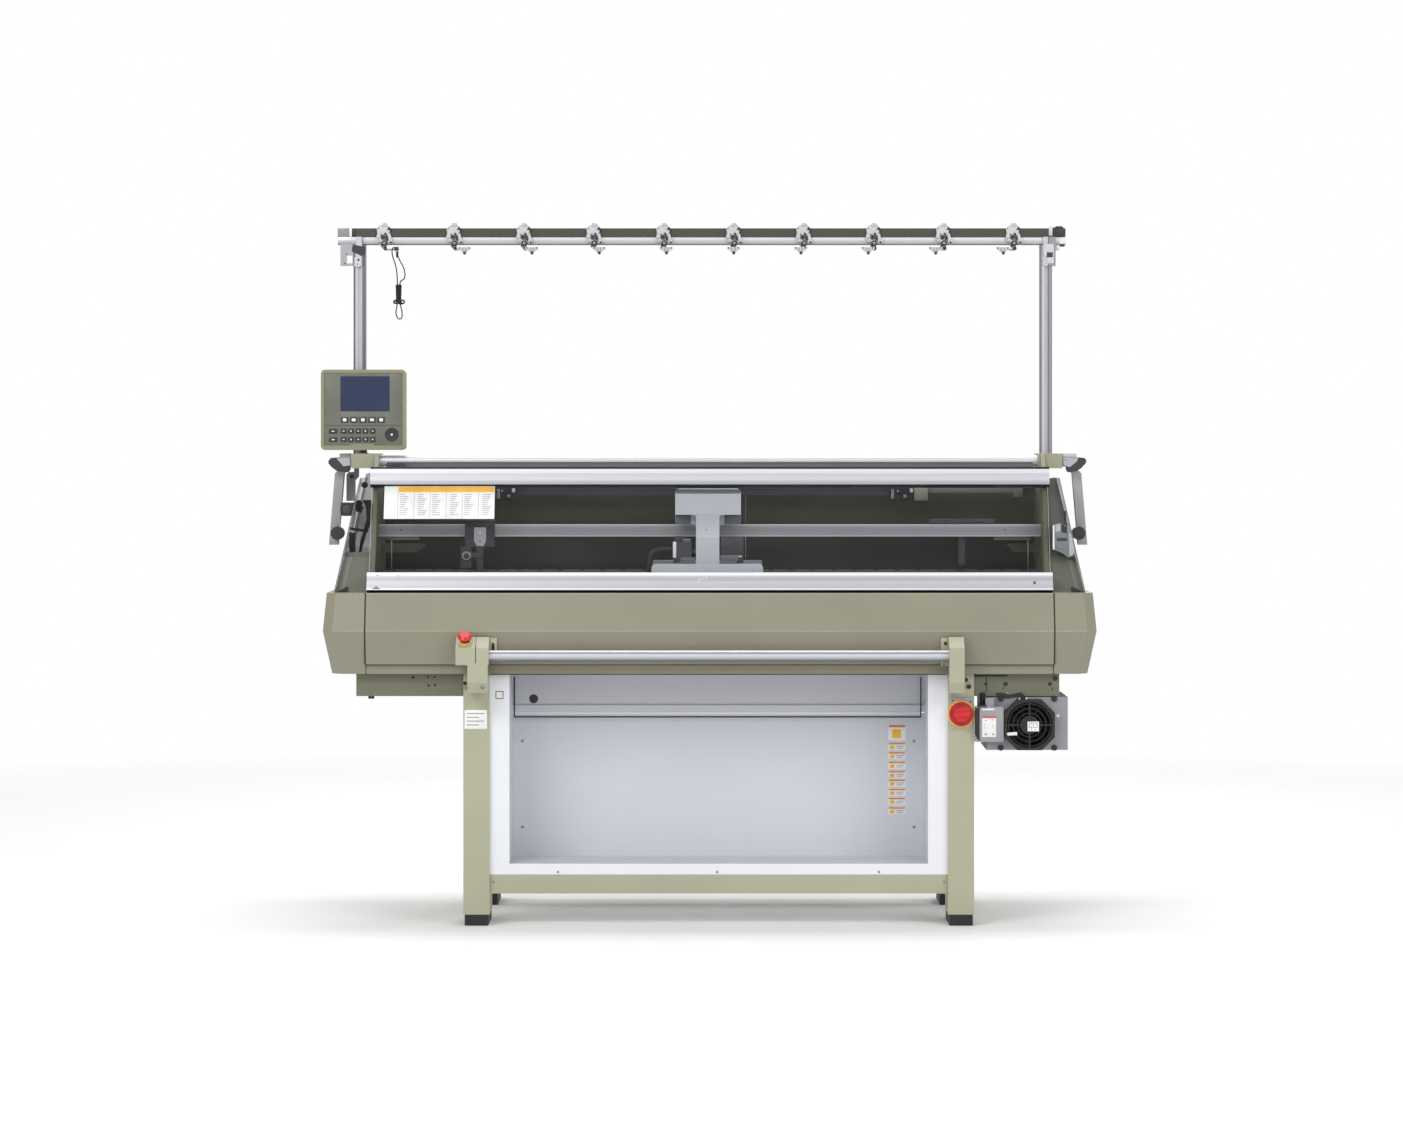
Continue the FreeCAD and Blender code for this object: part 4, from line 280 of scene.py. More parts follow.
# Painted highlights and shade: each list of stops is bands of light and dark as light falls across a rail,
# tube or post, with dark bands for the shadow in gaps and under edges.
UPPER_SASH = shaded_extrusion("upper_sash", "Z", 0, [
    (1.224, 45), (1.2335, 48), (1.2345, 168), (1.241, 172), (1.244, 188), (1.25, 206), (1.264, 196),
    (1.2665, 216), (1.277, 226), (1.2783, 24), (1.2966, 26)])
LOWER_SASH = shaded_extrusion("lower_sash", "Z", 0, [
    (0.93, 20), (0.9388, 24), (0.9396, 236), (0.9438, 226), (0.9465, 182), (0.955, 188), (0.962, 192),
    (0.969, 174), (0.9735, 176), (0.979, 198), (0.9815, 236), (0.9887, 236)])
BAR = shaded_extrusion("bar_metal", "Z", 0, [
    (0.743, 104), (0.7485, 136), (0.7513, 166), (0.757, 200), (0.7608, 216), (0.7645, 196), (0.7672, 126),
    (0.7692, 150), (0.7734, 232), (0.775, 212)], 0.28, 0.4)
THREAD_TUBE = shaded_extrusion("thread_tube_metal", "Z", 0, [
    (1.919, 92), (1.9205, 96), (1.9215, 150), (1.9245, 178), (1.93, 196), (1.9345, 222), (1.941, 226),
    (1.942, 190)], 0.32, 0.4)
LEFT_POST = shaded_extrusion("left_post_metal", "X", 2, [
    (-1.046, 170), (-1.0102, 172), (-1.009, 104), (-1.004, 100), (-1.0025, 214), (-0.9985, 188),
    (-0.996, 206), (-0.9855, 196), (-0.9835, 126), (-0.978, 100), (-0.9745, 110), (-0.974, 150)])
RIGHT_POST = shaded_extrusion("right_post_metal", "X", 2, [
    (0.9585, 118), (0.9635, 116), (0.965, 176), (0.967, 200), (0.9815, 192), (0.983, 104), (0.9855, 108),
    (0.987, 158), (0.992, 138), (0.9945, 150), (1.004, 150)])
POLISHED = metal("polished_tube", (222, 223, 226), 0.25, streak=0.03, metallic=0.35)
RAIL = shaded_extrusion("rail_metal", "Z", 0, [
    (1.085, 176), (1.0885, 168), (1.09, 138), (1.1, 136), (1.112, 144), (1.1165, 150), (1.1172, 196),
    (1.119, 190)], 0.4, 0.4)
STEEL = metal("steel", (150, 150, 152), 0.35)
UNIT = metal("unit_casting", (184, 185, 187), 0.45, along=1, metallic=0.4)
UNIT_PALE = metal("unit_arm", (198, 199, 200), 0.4, along=1, metallic=0.45)
BRACKET = paint("bracket_paint", (142, 144, 147), 0.45)
CERAMIC = plastic("ceramic_eye", (232, 230, 222), 0.2, 0.05)
DARK_STEEL = metal("dark_steel", (54, 56, 62), 0.45, metallic=0.3)
UPPER_RAIL = metal("upper_rail_metal", (74, 77, 84), 0.5, metallic=0.3)
BLACK = plastic("black_plastic", (33, 34, 37), 0.42)
GRIP = plastic("grip_rubber", (46, 48, 54), 0.5, 0.4, 700.0)
RUBBER = plastic("rubber", (28, 28, 29), 0.65, 0.35, 500.0)
BEZEL = paint("panel_bezel", (140, 142, 115), 0.5, 0.3)
PANEL_FACE = plastic("panel_face", (106, 107, 96), 0.5, 0.15)
RED = plastic("red_plastic", (208, 26, 31), 0.3, 0.08)
RED_DARK = plastic("red_grip", (150, 18, 24), 0.35, 0.08)
YELLOW = plastic("yellow_plate", (238, 188, 42), 0.45, 0.1)
ORANGE = plastic("orange_field", (226, 128, 62), 0.5, 0.05)
AMBER = plastic("amber_field", (238, 178, 58), 0.5, 0.05)
LABEL = plastic("label_film", (236, 236, 234), 0.45, 0.05)
LABEL_GREY = plastic("label_print", (150, 151, 153), 0.5, 0.05)
RAIL_GREY = paint("rail_bracket", (128, 129, 120), 0.5)
UNDER_DARK = paint("inner_arm", (70, 70, 56), 0.55)
BEIGE = paint("beige_block", (176, 172, 158), 0.5)
BEVEL_SHADE = paint("bevel_shade", (122, 125, 130), 0.5)
CREASE_HIGHLIGHT = paint("crease_highlight", (166, 165, 147), 0.42)
GREY = plastic("grey_plastic", (150, 151, 156), 0.5)
SCREEN = plastic("screen_glass", (27, 43, 78), 0.12, 0.0)
PANE = glass("clear_pane", (120, 122, 118), 0.06, 0.02, (160, 160, 158))
SMOKE = glass("shield_pane", (92, 96, 91), 0.12, 0.66, (122, 126, 121))
SMOKE_PALE = glass("shield_cover", (112, 117, 121), 0.1, 0.6, (150, 155, 158))
GUARD = paint_split_at_height("guard_paint", (96, 100, 86), (82, 86, 79), 1.03)
GUARD_PALE = paint("guard_edge", (118, 122, 110), 0.5)
END_COVER = paint_split_at_height("end_cover_paint", (110, 110, 92), OLIVE, 0.7058, 0.42)
GUARD_BLACK = plastic("finger_guard", (9, 9, 10), 0.55)
WRAP = plastic("conduit_black", (22, 22, 24), 0.55, 0.4)
LEAF = plastic("green_mark", (158, 178, 74), 0.5, 0.05)
SCARLET = plastic("red_strip", (214, 84, 66), 0.5, 0.05)
KNOB_FACE = plastic("knob_face", (66, 70, 77), 0.5)
SCUFF = plastic("worn_patch", (206, 208, 214), 0.5, 0.05)
EDGE_HIGHLIGHT = plastic("pane_edge_highlight", (176, 178, 174), 0.3, 0.05)

LOOKS = {
    COVER: "front_cover rear_cover",
    END_COVER: "left_end_cover right_end_cover",
    FRAME: "left_leg_frame right_leg_frame front_beam rear_beam left_bar_bracket right_bar_bracket",
    RUBBER: "feet carriage_cable drive_belt hanging_cord",
    WHITE: "bin_back_panel bin_upper_panel",
    BIN_WHITE_AND_HIGHLIGHT: "bin_surround",
    INTERIOR: "inner_back_panel",
    SIDES: "left_side_frame right_side_frame",
    CHANNEL: "top_channel",
    DEEP: "bed_frame front_needle_bed rear_needle_bed",
    STEEL: "takedown_roller nip_roller carriage_rails",
    RAIL: "yarn_rail",
    UPPER_RAIL: "upper_rail",
    UPPER_SASH: "window_upper_rail",
    LOWER_SASH: "window_lower_rail",
    THREAD_TUBE: "thread_tube",
    BAR: "start_bar",
    POLISHED: "window_tube",
    LEFT_POST: "left_post",
    RIGHT_POST: "right_post",
    DARK_STEEL: "carriage_motor left_yarn_carrier right_yarn_carrier drive_pulley idler_pulley",
    CASTING: "carriage_bridge front_cam_block rear_cam_block",
    ARMS: "window_arms",
    UNIT: "tension_units",
    GRIP: "window_grips shield_knob",
    GUARD_BLACK: "fan_guard fan_rotor",
    BLACK: "panel_yoke",
    BEZEL: "panel_housing",
    SCREEN: "panel_screen",
    RED: "estop_button switch_knob",
    FAN_PAINT: "fan_box",
    GREY: "connector_box",
    PANE: "window_pane",
    SMOKE: "left_side_shield right_side_shield",
}
for look, names in LOOKS.items():
    for name in names.split():
        NODES[name].data.materials.clear()
        NODES[name].data.materials.append(look)

# ---- building pieces

FRONT, UP = (0, -1, 0), (0, 0, 1)


def each(make, rows):
    """Makes one form for each row of measures."""
    for row in rows:
        make(*row)


def circle(sides):
    """Points of a round of radius 1."""
    return [(math.cos(math.tau * i / sides), math.sin(math.tau * i / sides)) for i in range(sides)]


class Piece:
    """One mesh made of bevelled forms, which rides on a body."""

    def __init__(self, name, body, slot, *looks):
        self.name, self.body, self.slot, self.looks = name, body, slot, looks
        self.mesh = bmesh.new()

    def _close(self, made, look, bevel):
        faces = {face for vert in made for face in vert.link_faces}
        for face in faces:
            face.material_index = look
        if bevel:
            edges = {edge for face in faces for edge in face.edges
                     if len(edge.link_faces) == 2 and edge.calc_face_angle(0) > 0.5}
            bmesh.ops.bevel(self.mesh, geom=list(edges), offset=bevel, segments=2, affect="EDGES",
                            profile=0.5, material=-1)

    def _wall(self, first, second):
        """Faces between two rings of as many points."""
        count = len(first)
        for i in range(count):
            self.mesh.faces.new((first[i], first[(i + 1) % count], second[(i + 1) % count], second[i]))

    def _ends(self, near, far, look, bevel):
        """A closed form between two outlines."""
        self.mesh.faces.new(near)
        self.mesh.faces.new(list(reversed(far)))
        self._wall(far, near)
        self._close(near + far, look, bevel)
        return self

    def _joined(self, rings, following, look):
        """A wall from each ring to the one that follows it."""
        for first, second in zip(rings, following):
            self._wall(first, second)
        self._close([vert for ring in rings for vert in ring], look, 0)
        return self

    def box(self, x, y, z, look=0, bevel=0.001):
        """A block from lowest to highest on each axis."""
        size = Vector((x[1] - x[0], y[1] - y[0], z[1] - z[0]))
        middle = Vector(((x[0] + x[1]) / 2, (y[0] + y[1]) / 2, (z[0] + z[1]) / 2))
        made = bmesh.ops.create_cube(self.mesh, size=1)["verts"]
        place = Matrix.Translation(middle) @ Matrix.Diagonal((*size, 1))
        bmesh.ops.transform(self.mesh, matrix=place, verts=made)
        self._close(made, look, min(bevel, min(size) * 0.3))
        return self

    def prism(self, outline, axis, low, high, look=0, bevel=0.0):
        """An outline of two coordinates each, pushed along the axis."""
        order = {"x": (2, 0, 1), "y": (0, 2, 1), "z": (0, 1, 2)}[axis]
        near, far = [[self.mesh.verts.new([(a, b, c)[i] for i in order]) for a, b in outline]
                     for c in (low, high)]
        return self._ends(near, far, look, bevel)

    def slab(self, corners, thick, look=0):
        """A plate with four corners in space, which goes back along y by thick."""
        near = [self.mesh.verts.new(corner) for corner in corners]
        far = [self.mesh.verts.new((x, y + thick, z)) for x, y, z in corners]
        return self._ends(near, far, look, 0)

    def turned(self, centre, axis, steps, look=0, sides=24):
        """A turned form: steps of (distance along the axis, radius)."""
        turn, middle = Vector(axis).to_track_quat("Z", "Y").to_matrix(), Vector(centre)
        rings = [[self.mesh.verts.new(middle + turn @ Vector((radius * x, radius * y, along)))
                  for x, y in circle(sides)] for along, radius in steps]
        self.mesh.faces.new(list(reversed(rings[0])))
        self.mesh.faces.new(rings[-1])
        return self._joined(rings, rings[1:], look)

    def ring(self, centre, axis, radius, thick, look=0, sides=20):
        """A closed round ring about the axis."""
        turn, middle = Vector(axis).to_track_quat("Z", "Y").to_matrix(), Vector(centre)
        rings = [[self.mesh.verts.new(middle + turn @ (
            Vector((x, y, 0)) * (radius + thick * wide) + Vector((0, 0, thick * high))))
                  for wide, high in circle(8)] for x, y in circle(sides)]
        return self._joined(rings, rings[1:] + rings[:1], look)

    def shown(self, px0, py0, px1, py1, front, thick=0.002, look=0, bevel=0.0004):
        """A block that fills a picture rectangle at the depth front and goes back by thick."""
        x0, x1, z0, z1 = seen_box(px0, py0, px1, py1, front)
        return self.box((x0, x1), (front, front + thick), (z0, z1), look, bevel)

    def plate(self, points, front, thick=0.002, look=0, bevel=0.0):
        """A plate whose outline is given in picture points at the depth front."""
        return self.prism([seen(px, py, front) for px, py in points], "y", front, front + thick, look, bevel)

    def stud(self, px, py, front, radius, deep, look=0, sides=20):
        """A round stud with its rounded face at the depth front, seen at a picture point."""
        x, z = seen(px, py, front)
        return self.turned((x, front + deep, z), FRONT, [
            (0, radius), (deep - radius * 0.15, radius), (deep, radius * 0.82)], look, sides)

    def screw(self, x, y, z, radius=0.004, facing=FRONT, look=0):
        """A domed screw head with its socket."""
        return self.turned((x, y, z), facing, [(-0.0005, radius), (radius * 0.35, radius),
                           (radius * 0.6, radius * 0.8), (radius * 0.66, radius * 0.5),
                           (radius * 0.3, radius * 0.42)], look, 16)

    def done(self):
        """Makes the mesh, gives it its looks and says which body it rides on."""
        bmesh.ops.recalc_face_normals(self.mesh, faces=self.mesh.faces)
        mesh = bpy.data.meshes.new(self.name)
        self.mesh.to_mesh(mesh)
        self.mesh.free()
        for polygon in mesh.polygons:
            polygon.use_smooth = True
        thing = linked(self.name, mesh)
        for look in self.looks:
            mesh.materials.append(look)
        mesh.set_sharp_from_angle(angle=math.radians(32))
        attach(thing, self.body)
        return thing


# ---- the cord that hangs from the first tension unit

CORD_DIAMETER = 0.0034
UPPER_LOOP = [
    (-0.8806, -0.0785, 1.8033), (-0.8806, -0.0785, 1.83), (-0.8856, -0.083, 1.862),
    (-0.8956, -0.0875, 1.888), (-0.8951, -0.087, 1.91), (-0.8831, -0.0775, 1.91),
    (-0.8806, -0.076, 1.884), (-0.8586, -0.076, 1.846), (-0.8596, -0.0775, 1.818),
    (-0.8732, -0.0785, 1.816), (-0.8732, -0.0785, 1.8033),
]
LOWER_LOOP = [
    (-0.881, -0.0785, 1.7575), (-0.881, -0.0785, 1.745), (-0.8861, -0.079, 1.723),
    (-0.8791, -0.0775, 1.705), (-0.8671, -0.0775, 1.706), (-0.8671, -0.079, 1.729),
    (-0.8728, -0.0785, 1.746), (-0.8728, -0.0785, 1.7575),
]
CORD = plastic("cord_braid", (26, 26, 28), 0.7, 0.5, 1400.0)


def cord_line(name, route, radius, body="frame"):
    """A smooth cord: a NURBS spline with the route's points as its control points."""
    curve = bpy.data.curves.new(name, "CURVE")
    curve.dimensions = "3D"
    spline = curve.splines.new("NURBS")
    spline.points.add(len(route) - 1)
    for point, place in zip(spline.points, route):
        point.co = (*place, 1)
    spline.order_u = 3
    spline.use_endpoint_u = True
    spline.resolution_u = 8
    curve.bevel_depth = radius
    curve.bevel_resolution = 4
    curve.use_fill_caps = True
    thing = linked(name, curve)
    curve.materials.append(CORD)
    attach(thing, body)
    return thing


upper_loop = cord_line("cord_loop", UPPER_LOOP, CORD_DIAMETER / 2)
lower_loop = cord_line("cord_tail_loop", LOWER_LOOP, CORD_DIAMETER / 2)
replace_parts(upper_loop, "hanging_cord")
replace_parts(lower_loop, "hanging_cord")

# The hank between the loops: the cord wound round its own strands, with a knot's two ears.
HANK_X, HANK_Y, HANK_TOP, HANK_PITCH = -0.877, -0.0785, 1.8033, 0.0033
KNOT = 1.7545
hank = Piece("cord_hank", "frame", "cord", CORD)
winding = []
for turn in range(14):
    height = HANK_TOP - turn * HANK_PITCH
    swell = 0.0091 - 0.0001 * turn
    winding += [(height, swell * 0.86), (height - 0.0008, swell), (height - 0.0024, swell)]
hank.turned((HANK_X, HANK_Y, 0), UP, [(1.8045, 0.003)] + winding + [(1.757, 0.0045)], 0, 20)
each(hank.ring, (
    ((HANK_X + 0.0115, HANK_Y, KNOT), (0, 1, 0), 0.0048, 0.0022),
    ((HANK_X - 0.0098, HANK_Y, KNOT), (0, 1, 0), 0.0042, 0.0024),
    ((HANK_X, HANK_Y, KNOT), UP, 0.0064, 0.0033),
    ((HANK_X + 0.001, HANK_Y, 1.7505), (0.3, 0, 1), 0.0062, 0.0028)))
wrap = [(0, 0.0024)]
for turn in range(6):
    wrap += [(0.001 + turn * 0.004, 0.0034), (0.0028 + turn * 0.004, 0.0036), (0.0036 + turn * 0.004, 0.003)]
hank.turned((-0.8813, -0.0764, 1.8815), UP, wrap + [(0.0262, 0.0022)], 0, 16)
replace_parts(hank.done(), "hanging_cord")

HOSE_DIAMETER = 0.016
HOSE = [(-0.0911, -0.228, 1.05), (-0.118, -0.228, 1.05), (-0.152, -0.228, 1.045),
        (-0.1593, -0.228, 1.01), (-0.1593, -0.228, 0.965)]
hose = cord_line("carriage_hose", HOSE, HOSE_DIAMETER / 2, "carriage")
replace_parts(hose, "carriage_cable")

# ---- window: placard

WINDOW_FOOT = Vector((0, -0.341, 0.935))
LEAN = math.radians(24)


def on_window(height, out):
    """y and z of a point of the window at a height, out from the middle of its pane."""
    along = (height - WINDOW_FOOT.z - out * math.sin(LEAN)) / math.cos(LEAN)
    return WINDOW_FOOT.y + along * math.sin(LEAN) - out * math.cos(LEAN), height


def window_sheet(piece, x0, x1, z0, z1, out, thick, look):
    """A thin plate that lies on the window."""
    (y0, _), (y1, _) = on_window(z0, out), on_window(z1, out)
    shift_y, shift_z = -thick * math.cos(LEAN), thick * math.sin(LEAN)
    piece.prism([(y0, z0), (y1, z1), (y1 + shift_y, z1 + shift_z), (y0 + shift_y, z0 + shift_z)],
                "x", x0, x1, look)


PANE_OUT = 0.0022
placard = Piece("placard", "window", "grey_plastic", LABEL, AMBER, LABEL_GREY)
window_sheet(placard, -0.907, -0.595, 1.137, 1.2285, PANE_OUT, 0.0012, 0)
window_sheet(placard, -0.868, -0.5965, 1.2125, 1.2275, PANE_OUT + 0.0012, 0.0003, 1)
for column in range(6):
    left = -0.868 + column * 0.0455
    window_sheet(placard, left - 0.0006, left + 0.0004, 1.139, 1.2115, PANE_OUT + 0.0012, 0.0002, 2)
    for row in range(11):
        share = ((column * 7 + row * 5) % 6) / 6
        start = left + 0.005 + 0.006 * (column % 2)
        window_sheet(placard, start, start + 0.014 + 0.013 * share, 1.205 - row * 0.0057,
                     1.2065 - row * 0.0057, PANE_OUT + 0.0012, 0.0002, 2)
placard.done()

# ---- control panel: face, keys and round pad

panel = Piece("panel_keys", "panel", "panel_plastic", PANEL_FACE, BLACK, LABEL, BEZEL)
PANEL_LEFT, PANEL_LOW, FACE = -1.0946, 1.331, -0.133
SCREEN_LEFT, SCREEN_RIGHT, SCREEN_LOW, SCREEN_TOP = -1.0388, -0.8988, 1.441, 1.541
FACE_LEFT, FACE_RIGHT, FACE_LOW, FACE_TOP = PANEL_LEFT + 0.0095, -0.8625, PANEL_LOW + 0.0135, 1.5505
for x, z in (((FACE_LEFT, SCREEN_LEFT), (FACE_LOW, FACE_TOP)),
             ((SCREEN_RIGHT, FACE_RIGHT), (FACE_LOW, FACE_TOP)),
             ((SCREEN_LEFT, SCREEN_RIGHT), (FACE_LOW, SCREEN_LOW)),
             ((SCREEN_LEFT, SCREEN_RIGHT), (SCREEN_TOP, FACE_TOP))):
    panel.box(x, (FACE - 0.0006, FACE + 0.0002), z, 0, 0.0002)


def key(left, low, width, height, mark):
    """A dark key with a small pale mark."""
    x, z = PANEL_LEFT + left / 1000, PANEL_LOW + low / 1000
    w, h = width / 1000, height / 1000
    panel.box((x, x + w), (FACE - 0.0028, FACE), (z, z + h), 1, 0.0012)
    mw, mh = w * mark[0] / 2, h * mark[1] / 2
    panel.box((x + w / 2 - mw, x + w / 2 + mw), (FACE - 0.00305, FACE - 0.0026),
              (z + h / 2 - mh, z + h / 2 + mh), 2, 0.0)


for index in range(5):
    key(57.5 + 26 * index, 78, 20.5, 16, (0.55, 0.5) if index % 2 else (0.5, 0.55))
    for low in (23, 47):
        key(57.5 + 20.6 * index, low, 15.5, 14, (0.3, 0.2) if (index + low) % 2 else (0.22, 0.32))
key(23.5, 47, 23, 13, (0.35, 0.18))
key(23.5, 23, 23, 13, (0.4, 0.2))
PAD = (PANEL_LEFT + 0.202, FACE, PANEL_LOW + 0.044)
panel.turned(PAD, FRONT, [
    (0, 0.0192), (0.0022, 0.0192), (0.0028, 0.0185), (0.0024, 0.014), (0.0014, 0.006)], 1, 40)
panel.turned(PAD, FRONT, [(0.001, 0.0032), (0.0026, 0.0032), (0.003, 0.0026)], 2, 16)
panel.box((-1.012, -0.943), (FACE - 0.0012, FACE), (1.3425, 1.3485), 3, 0.0003)
panel.box((FACE_LEFT, FACE_RIGHT), (FACE - 0.0011, FACE - 0.0004), (1.4005, 1.4015), 1, 0.0)
panel.done()

# ---- stickers and plates on the frame

PLATE = 0.0008
trim = Piece("frame_plates", "frame", "grey_plastic", LABEL, ORANGE, LABEL_GREY, YELLOW, BLACK)


def flat(px0, py0, px1, py1, depth, look, proud=0.0, thick=PLATE):
    """A sticker or plate on a face at the depth, standing proud of it."""
    x0, x1, z0, z1 = seen_box(px0, py0, px1, py1, depth)
    trim.box((x0, x1), (depth - proud - thick, depth - proud), (z0, z1), look, 0.0)


BIN_BACK, LEG_FACE, BIN_FRAME = -0.082, -0.345, -0.333
for index, top in enumerate((724.7, 742.6, 751.8, 761.4, 770.6, 779.2, 788.4, 797.4, 806.9)):
    bottom = 740.4 if index == 0 else top + 7.6
    flat(888.2, top, 905.6, bottom, BIN_BACK, 0)
    flat(888.8, top + 0.3, 905.0, top + (2.6 if index == 0 else 1.8), BIN_BACK, 1, PLATE, 0.0004)
    if index:
        flat(896.4, top + 3.4, 904.0, top + 4.0, BIN_BACK, 2, PLATE, 0.0004)
        flat(896.4, top + 5.2, 902.4, top + 5.8, BIN_BACK, 2, PLATE, 0.0004)
        flat(890.0, top + 3.0, 894.2, top + 6.4, BIN_BACK, 3, PLATE, 0.0004)
    else:
        flat(892.0, top + 4.6, 901.0, top + 13.4, BIN_BACK, 3, PLATE, 0.0004)
flat(464.5, 710, 487, 728.8, LEG_FACE, 0)
for row in range(4):
    flat(467, 713 + row * 3.8, 484 - (row % 2) * 5, 714 + row * 3.8, LEG_FACE, 2, PLATE, 0.0003)
flat(495.6, 691.2, 503.4, 698.8, BIN_FRAME, 4)
flat(496.3, 691.9, 502.7, 698.1, BIN_FRAME, 0, PLATE, 0.0004)
trim.done()

# ---- tension units: cover plate, dials, lever and guide plate

# The cover plate's outline, as shares of its width and height.
UNIT_OUTLINE = (
    (-0.48, 0.72), (-0.24, 0.9), (0.18, 1), (0.35, 0.93), (0.5, 0.8), (0.48, 0.53),
    (0.4, 0.31), (0.1, 0.08), (-0.12, 0), (-0.43, 0.04), (-0.5, 0.33), (-0.43, 0.47),
)
UNIT_FACE, UNIT_FIRST, UNIT_PITCH, UNIT_TURN = -0.0503, -0.9176, 0.2004, 8.5
UNIT_ARM, UNIT_WIDE, UNIT_HIGH = 0.058, 0.0335, 0.0465
# Screws: sideways, height and radius.
UNIT_SCREWS = ((-0.0195, 1.9655, 0.0017), (-0.0035, 1.9715, 0.0015), (0.0065, 1.962, 0.0017),
               (-0.0195, 1.9365, 0.0015), (-0.0115, 1.9485, 0.0022))
# Levers and guides: outline, near and far side from the face, look.
UNIT_PLATES = (
    (((-0.003, 1.9525), (0.0025, 1.9535), (0.0105, 1.9335), (0.004, 1.9315)), -0.0042, -0.001, 2),
    (((0.009, 1.9505), (0.0145, 1.951), (0.0215, 1.9265), (0.0165, 1.921), (0.01, 1.9255)),
     -0.0035, 0.003, 0),
    (((-0.0125, 1.9215), (0.0065, 1.9215), (0.0035, 1.908), (-0.004, 1.9055), (-0.0125, 1.913)),
     -0.001, 0.0025, 4),
)
# Dials, rollers and eyes: sideways, from the face, height, turned steps, look and sides.
UNIT_DIALS = (
    (0.0115, 0.006, 1.9655, ((0, 0.0042), (0.008, 0.0042), (0.0095, 0.003)), 1, 16),
    (-0.006, -0.0012, 1.9408, ((0, 0.0078), (0.0026, 0.0078), (0.0034, 0.0068)), 4, 24),
    (-0.006, -0.0012, 1.9408, ((0.003, 0.0061), (0.0068, 0.0061), (0.008, 0.0048), (0.0072, 0.002)), 1, 24),
    (-0.0017, -0.014, 1.923, ((-0.003, 0.0079), (0.0008, 0.0079), (0.0018, 0.0068)), 1, 24),
    (-0.0017, -0.014, 1.923, ((0.001, 0.0035), (0.0028, 0.0035), (0.0034, 0.0024)), 4, 16),
    (0.0165, -0.0035, 1.9255, ((0, 0.0032), (0.003, 0.0032), (0.0036, 0.0022)), 2, 16),
    (0.0005, 0.0035, 1.9085, ((0, 0.0048), (0.009, 0.0052), (0.0105, 0.0042)), 2, 18),
    (-0.0086, 0.001, 1.917, ((0, 0.003), (0.0045, 0.003), (0.0052, 0.0022)), 1, 14),
)
units = Piece("tension_unit_fittings", "frame", "casting_paint", UNIT_PALE, BLACK, DARK_STEEL, CERAMIC, STEEL)
for index in range(10):
    middle = UNIT_FIRST + index * UNIT_PITCH
    yaw = math.radians((index - 4.5) * UNIT_TURN)
    units.prism([(middle - 0.006 + across * UNIT_WIDE, 1.9527 + (up - 0.5) * UNIT_HIGH)
                 for across, up in UNIT_OUTLINE], "y", UNIT_FACE - 0.0014, UNIT_FACE + 0.0005, 0, 0.0005)
    for across, height, radius in UNIT_SCREWS:
        units.screw(middle + across, UNIT_FACE - 0.0012, height, radius, look=2)
    for outline, near, far, look in UNIT_PLATES:
        units.prism([(middle + across, height) for across, height in outline],
                    "y", UNIT_FACE + near, UNIT_FACE + far, look, 0.0006)
    for across, out, height, steps, look, sides in UNIT_DIALS:
        units.turned((middle + across, UNIT_FACE + out, height), FRONT, steps, look, sides)
    tip = Vector((middle - UNIT_ARM * math.sin(yaw), UNIT_FACE + 0.004 - UNIT_ARM * math.cos(yaw), 1.9045))
    if index:
        units.prism([(tip.x - 0.0195, 1.9105), (tip.x + 0.0195, 1.9105), (tip.x + 0.0195, 1.905),
                     (tip.x + 0.009, 1.897), (tip.x - 0.008, 1.897), (tip.x - 0.0195, 1.9055)],
                    "y", tip.y + 0.0015, tip.y + 0.0045, 0, 0.0006)
        for across in (-0.0135, 0.0135):
            units.screw(tip.x + across, tip.y + 0.0016, 1.9078, 0.0022, look=2)
        units.ring((tip.x, tip.y - 0.0005, 1.9015), (0, 1, 0), 0.0036, 0.0014, 3, 16)
        units.turned((tip.x + 0.001, tip.y + 0.0045, 1.8935), FRONT, [
            (0, 0.0044), (0.007, 0.0048), (0.0085, 0.0038)], 2, 18)
    else:
        units.turned((tip.x, tip.y, 1.898), UP, [
            (0, 0.0028), (0.003, 0.0062), (0.011, 0.0062), (0.0135, 0.004)], 1, 16)
units.done()

# ---- thread beam: end blocks, post brackets and their bolts

beam = Piece("thread_beam_fittings", "frame", "aluminium", BRACKET, BLACK, LABEL, UNIT_PALE, DARK_STEEL,
             THREAD_TUBE)
each(beam.shown, (
    (338.2, 228.2, 350, 237.2, -0.0455, 0.004), (349.4, 228.4, 351.8, 237.2, -0.047, 0.005, 2),
    (338.2, 237.2, 356, 243.9, -0.0495, 0.0012, 5), (351.8, 229.2, 356, 236.6, -0.043, 0.0015, 1),
    (338.2, 237.4, 343.5, 243.8, -0.041, 0.0012, 2), (341.6, 243.8, 346.4, 245.3, -0.034, 0.006, 1),
    (348.6, 243.8, 352.4, 247.6, -0.036, 0.008, 1), (1052.6, 227.4, 1063.6, 236, -0.046, 0.0045, 1),
    (1048.8, 226.6, 1052.6, 235.6, -0.0445, 0.003, 3), (1059.6, 237.2, 1065.2, 243.6, -0.041, 0.0012, 2),
    (1046.8, 252.3, 1052.8, 257.2, -0.0525, 0.0012, 4), (1054, 244, 1059.5, 250.4, -0.038, 0.012, 3),
    (1059.5, 244, 1064.6, 246.6, -0.036, 0.01, 1)))
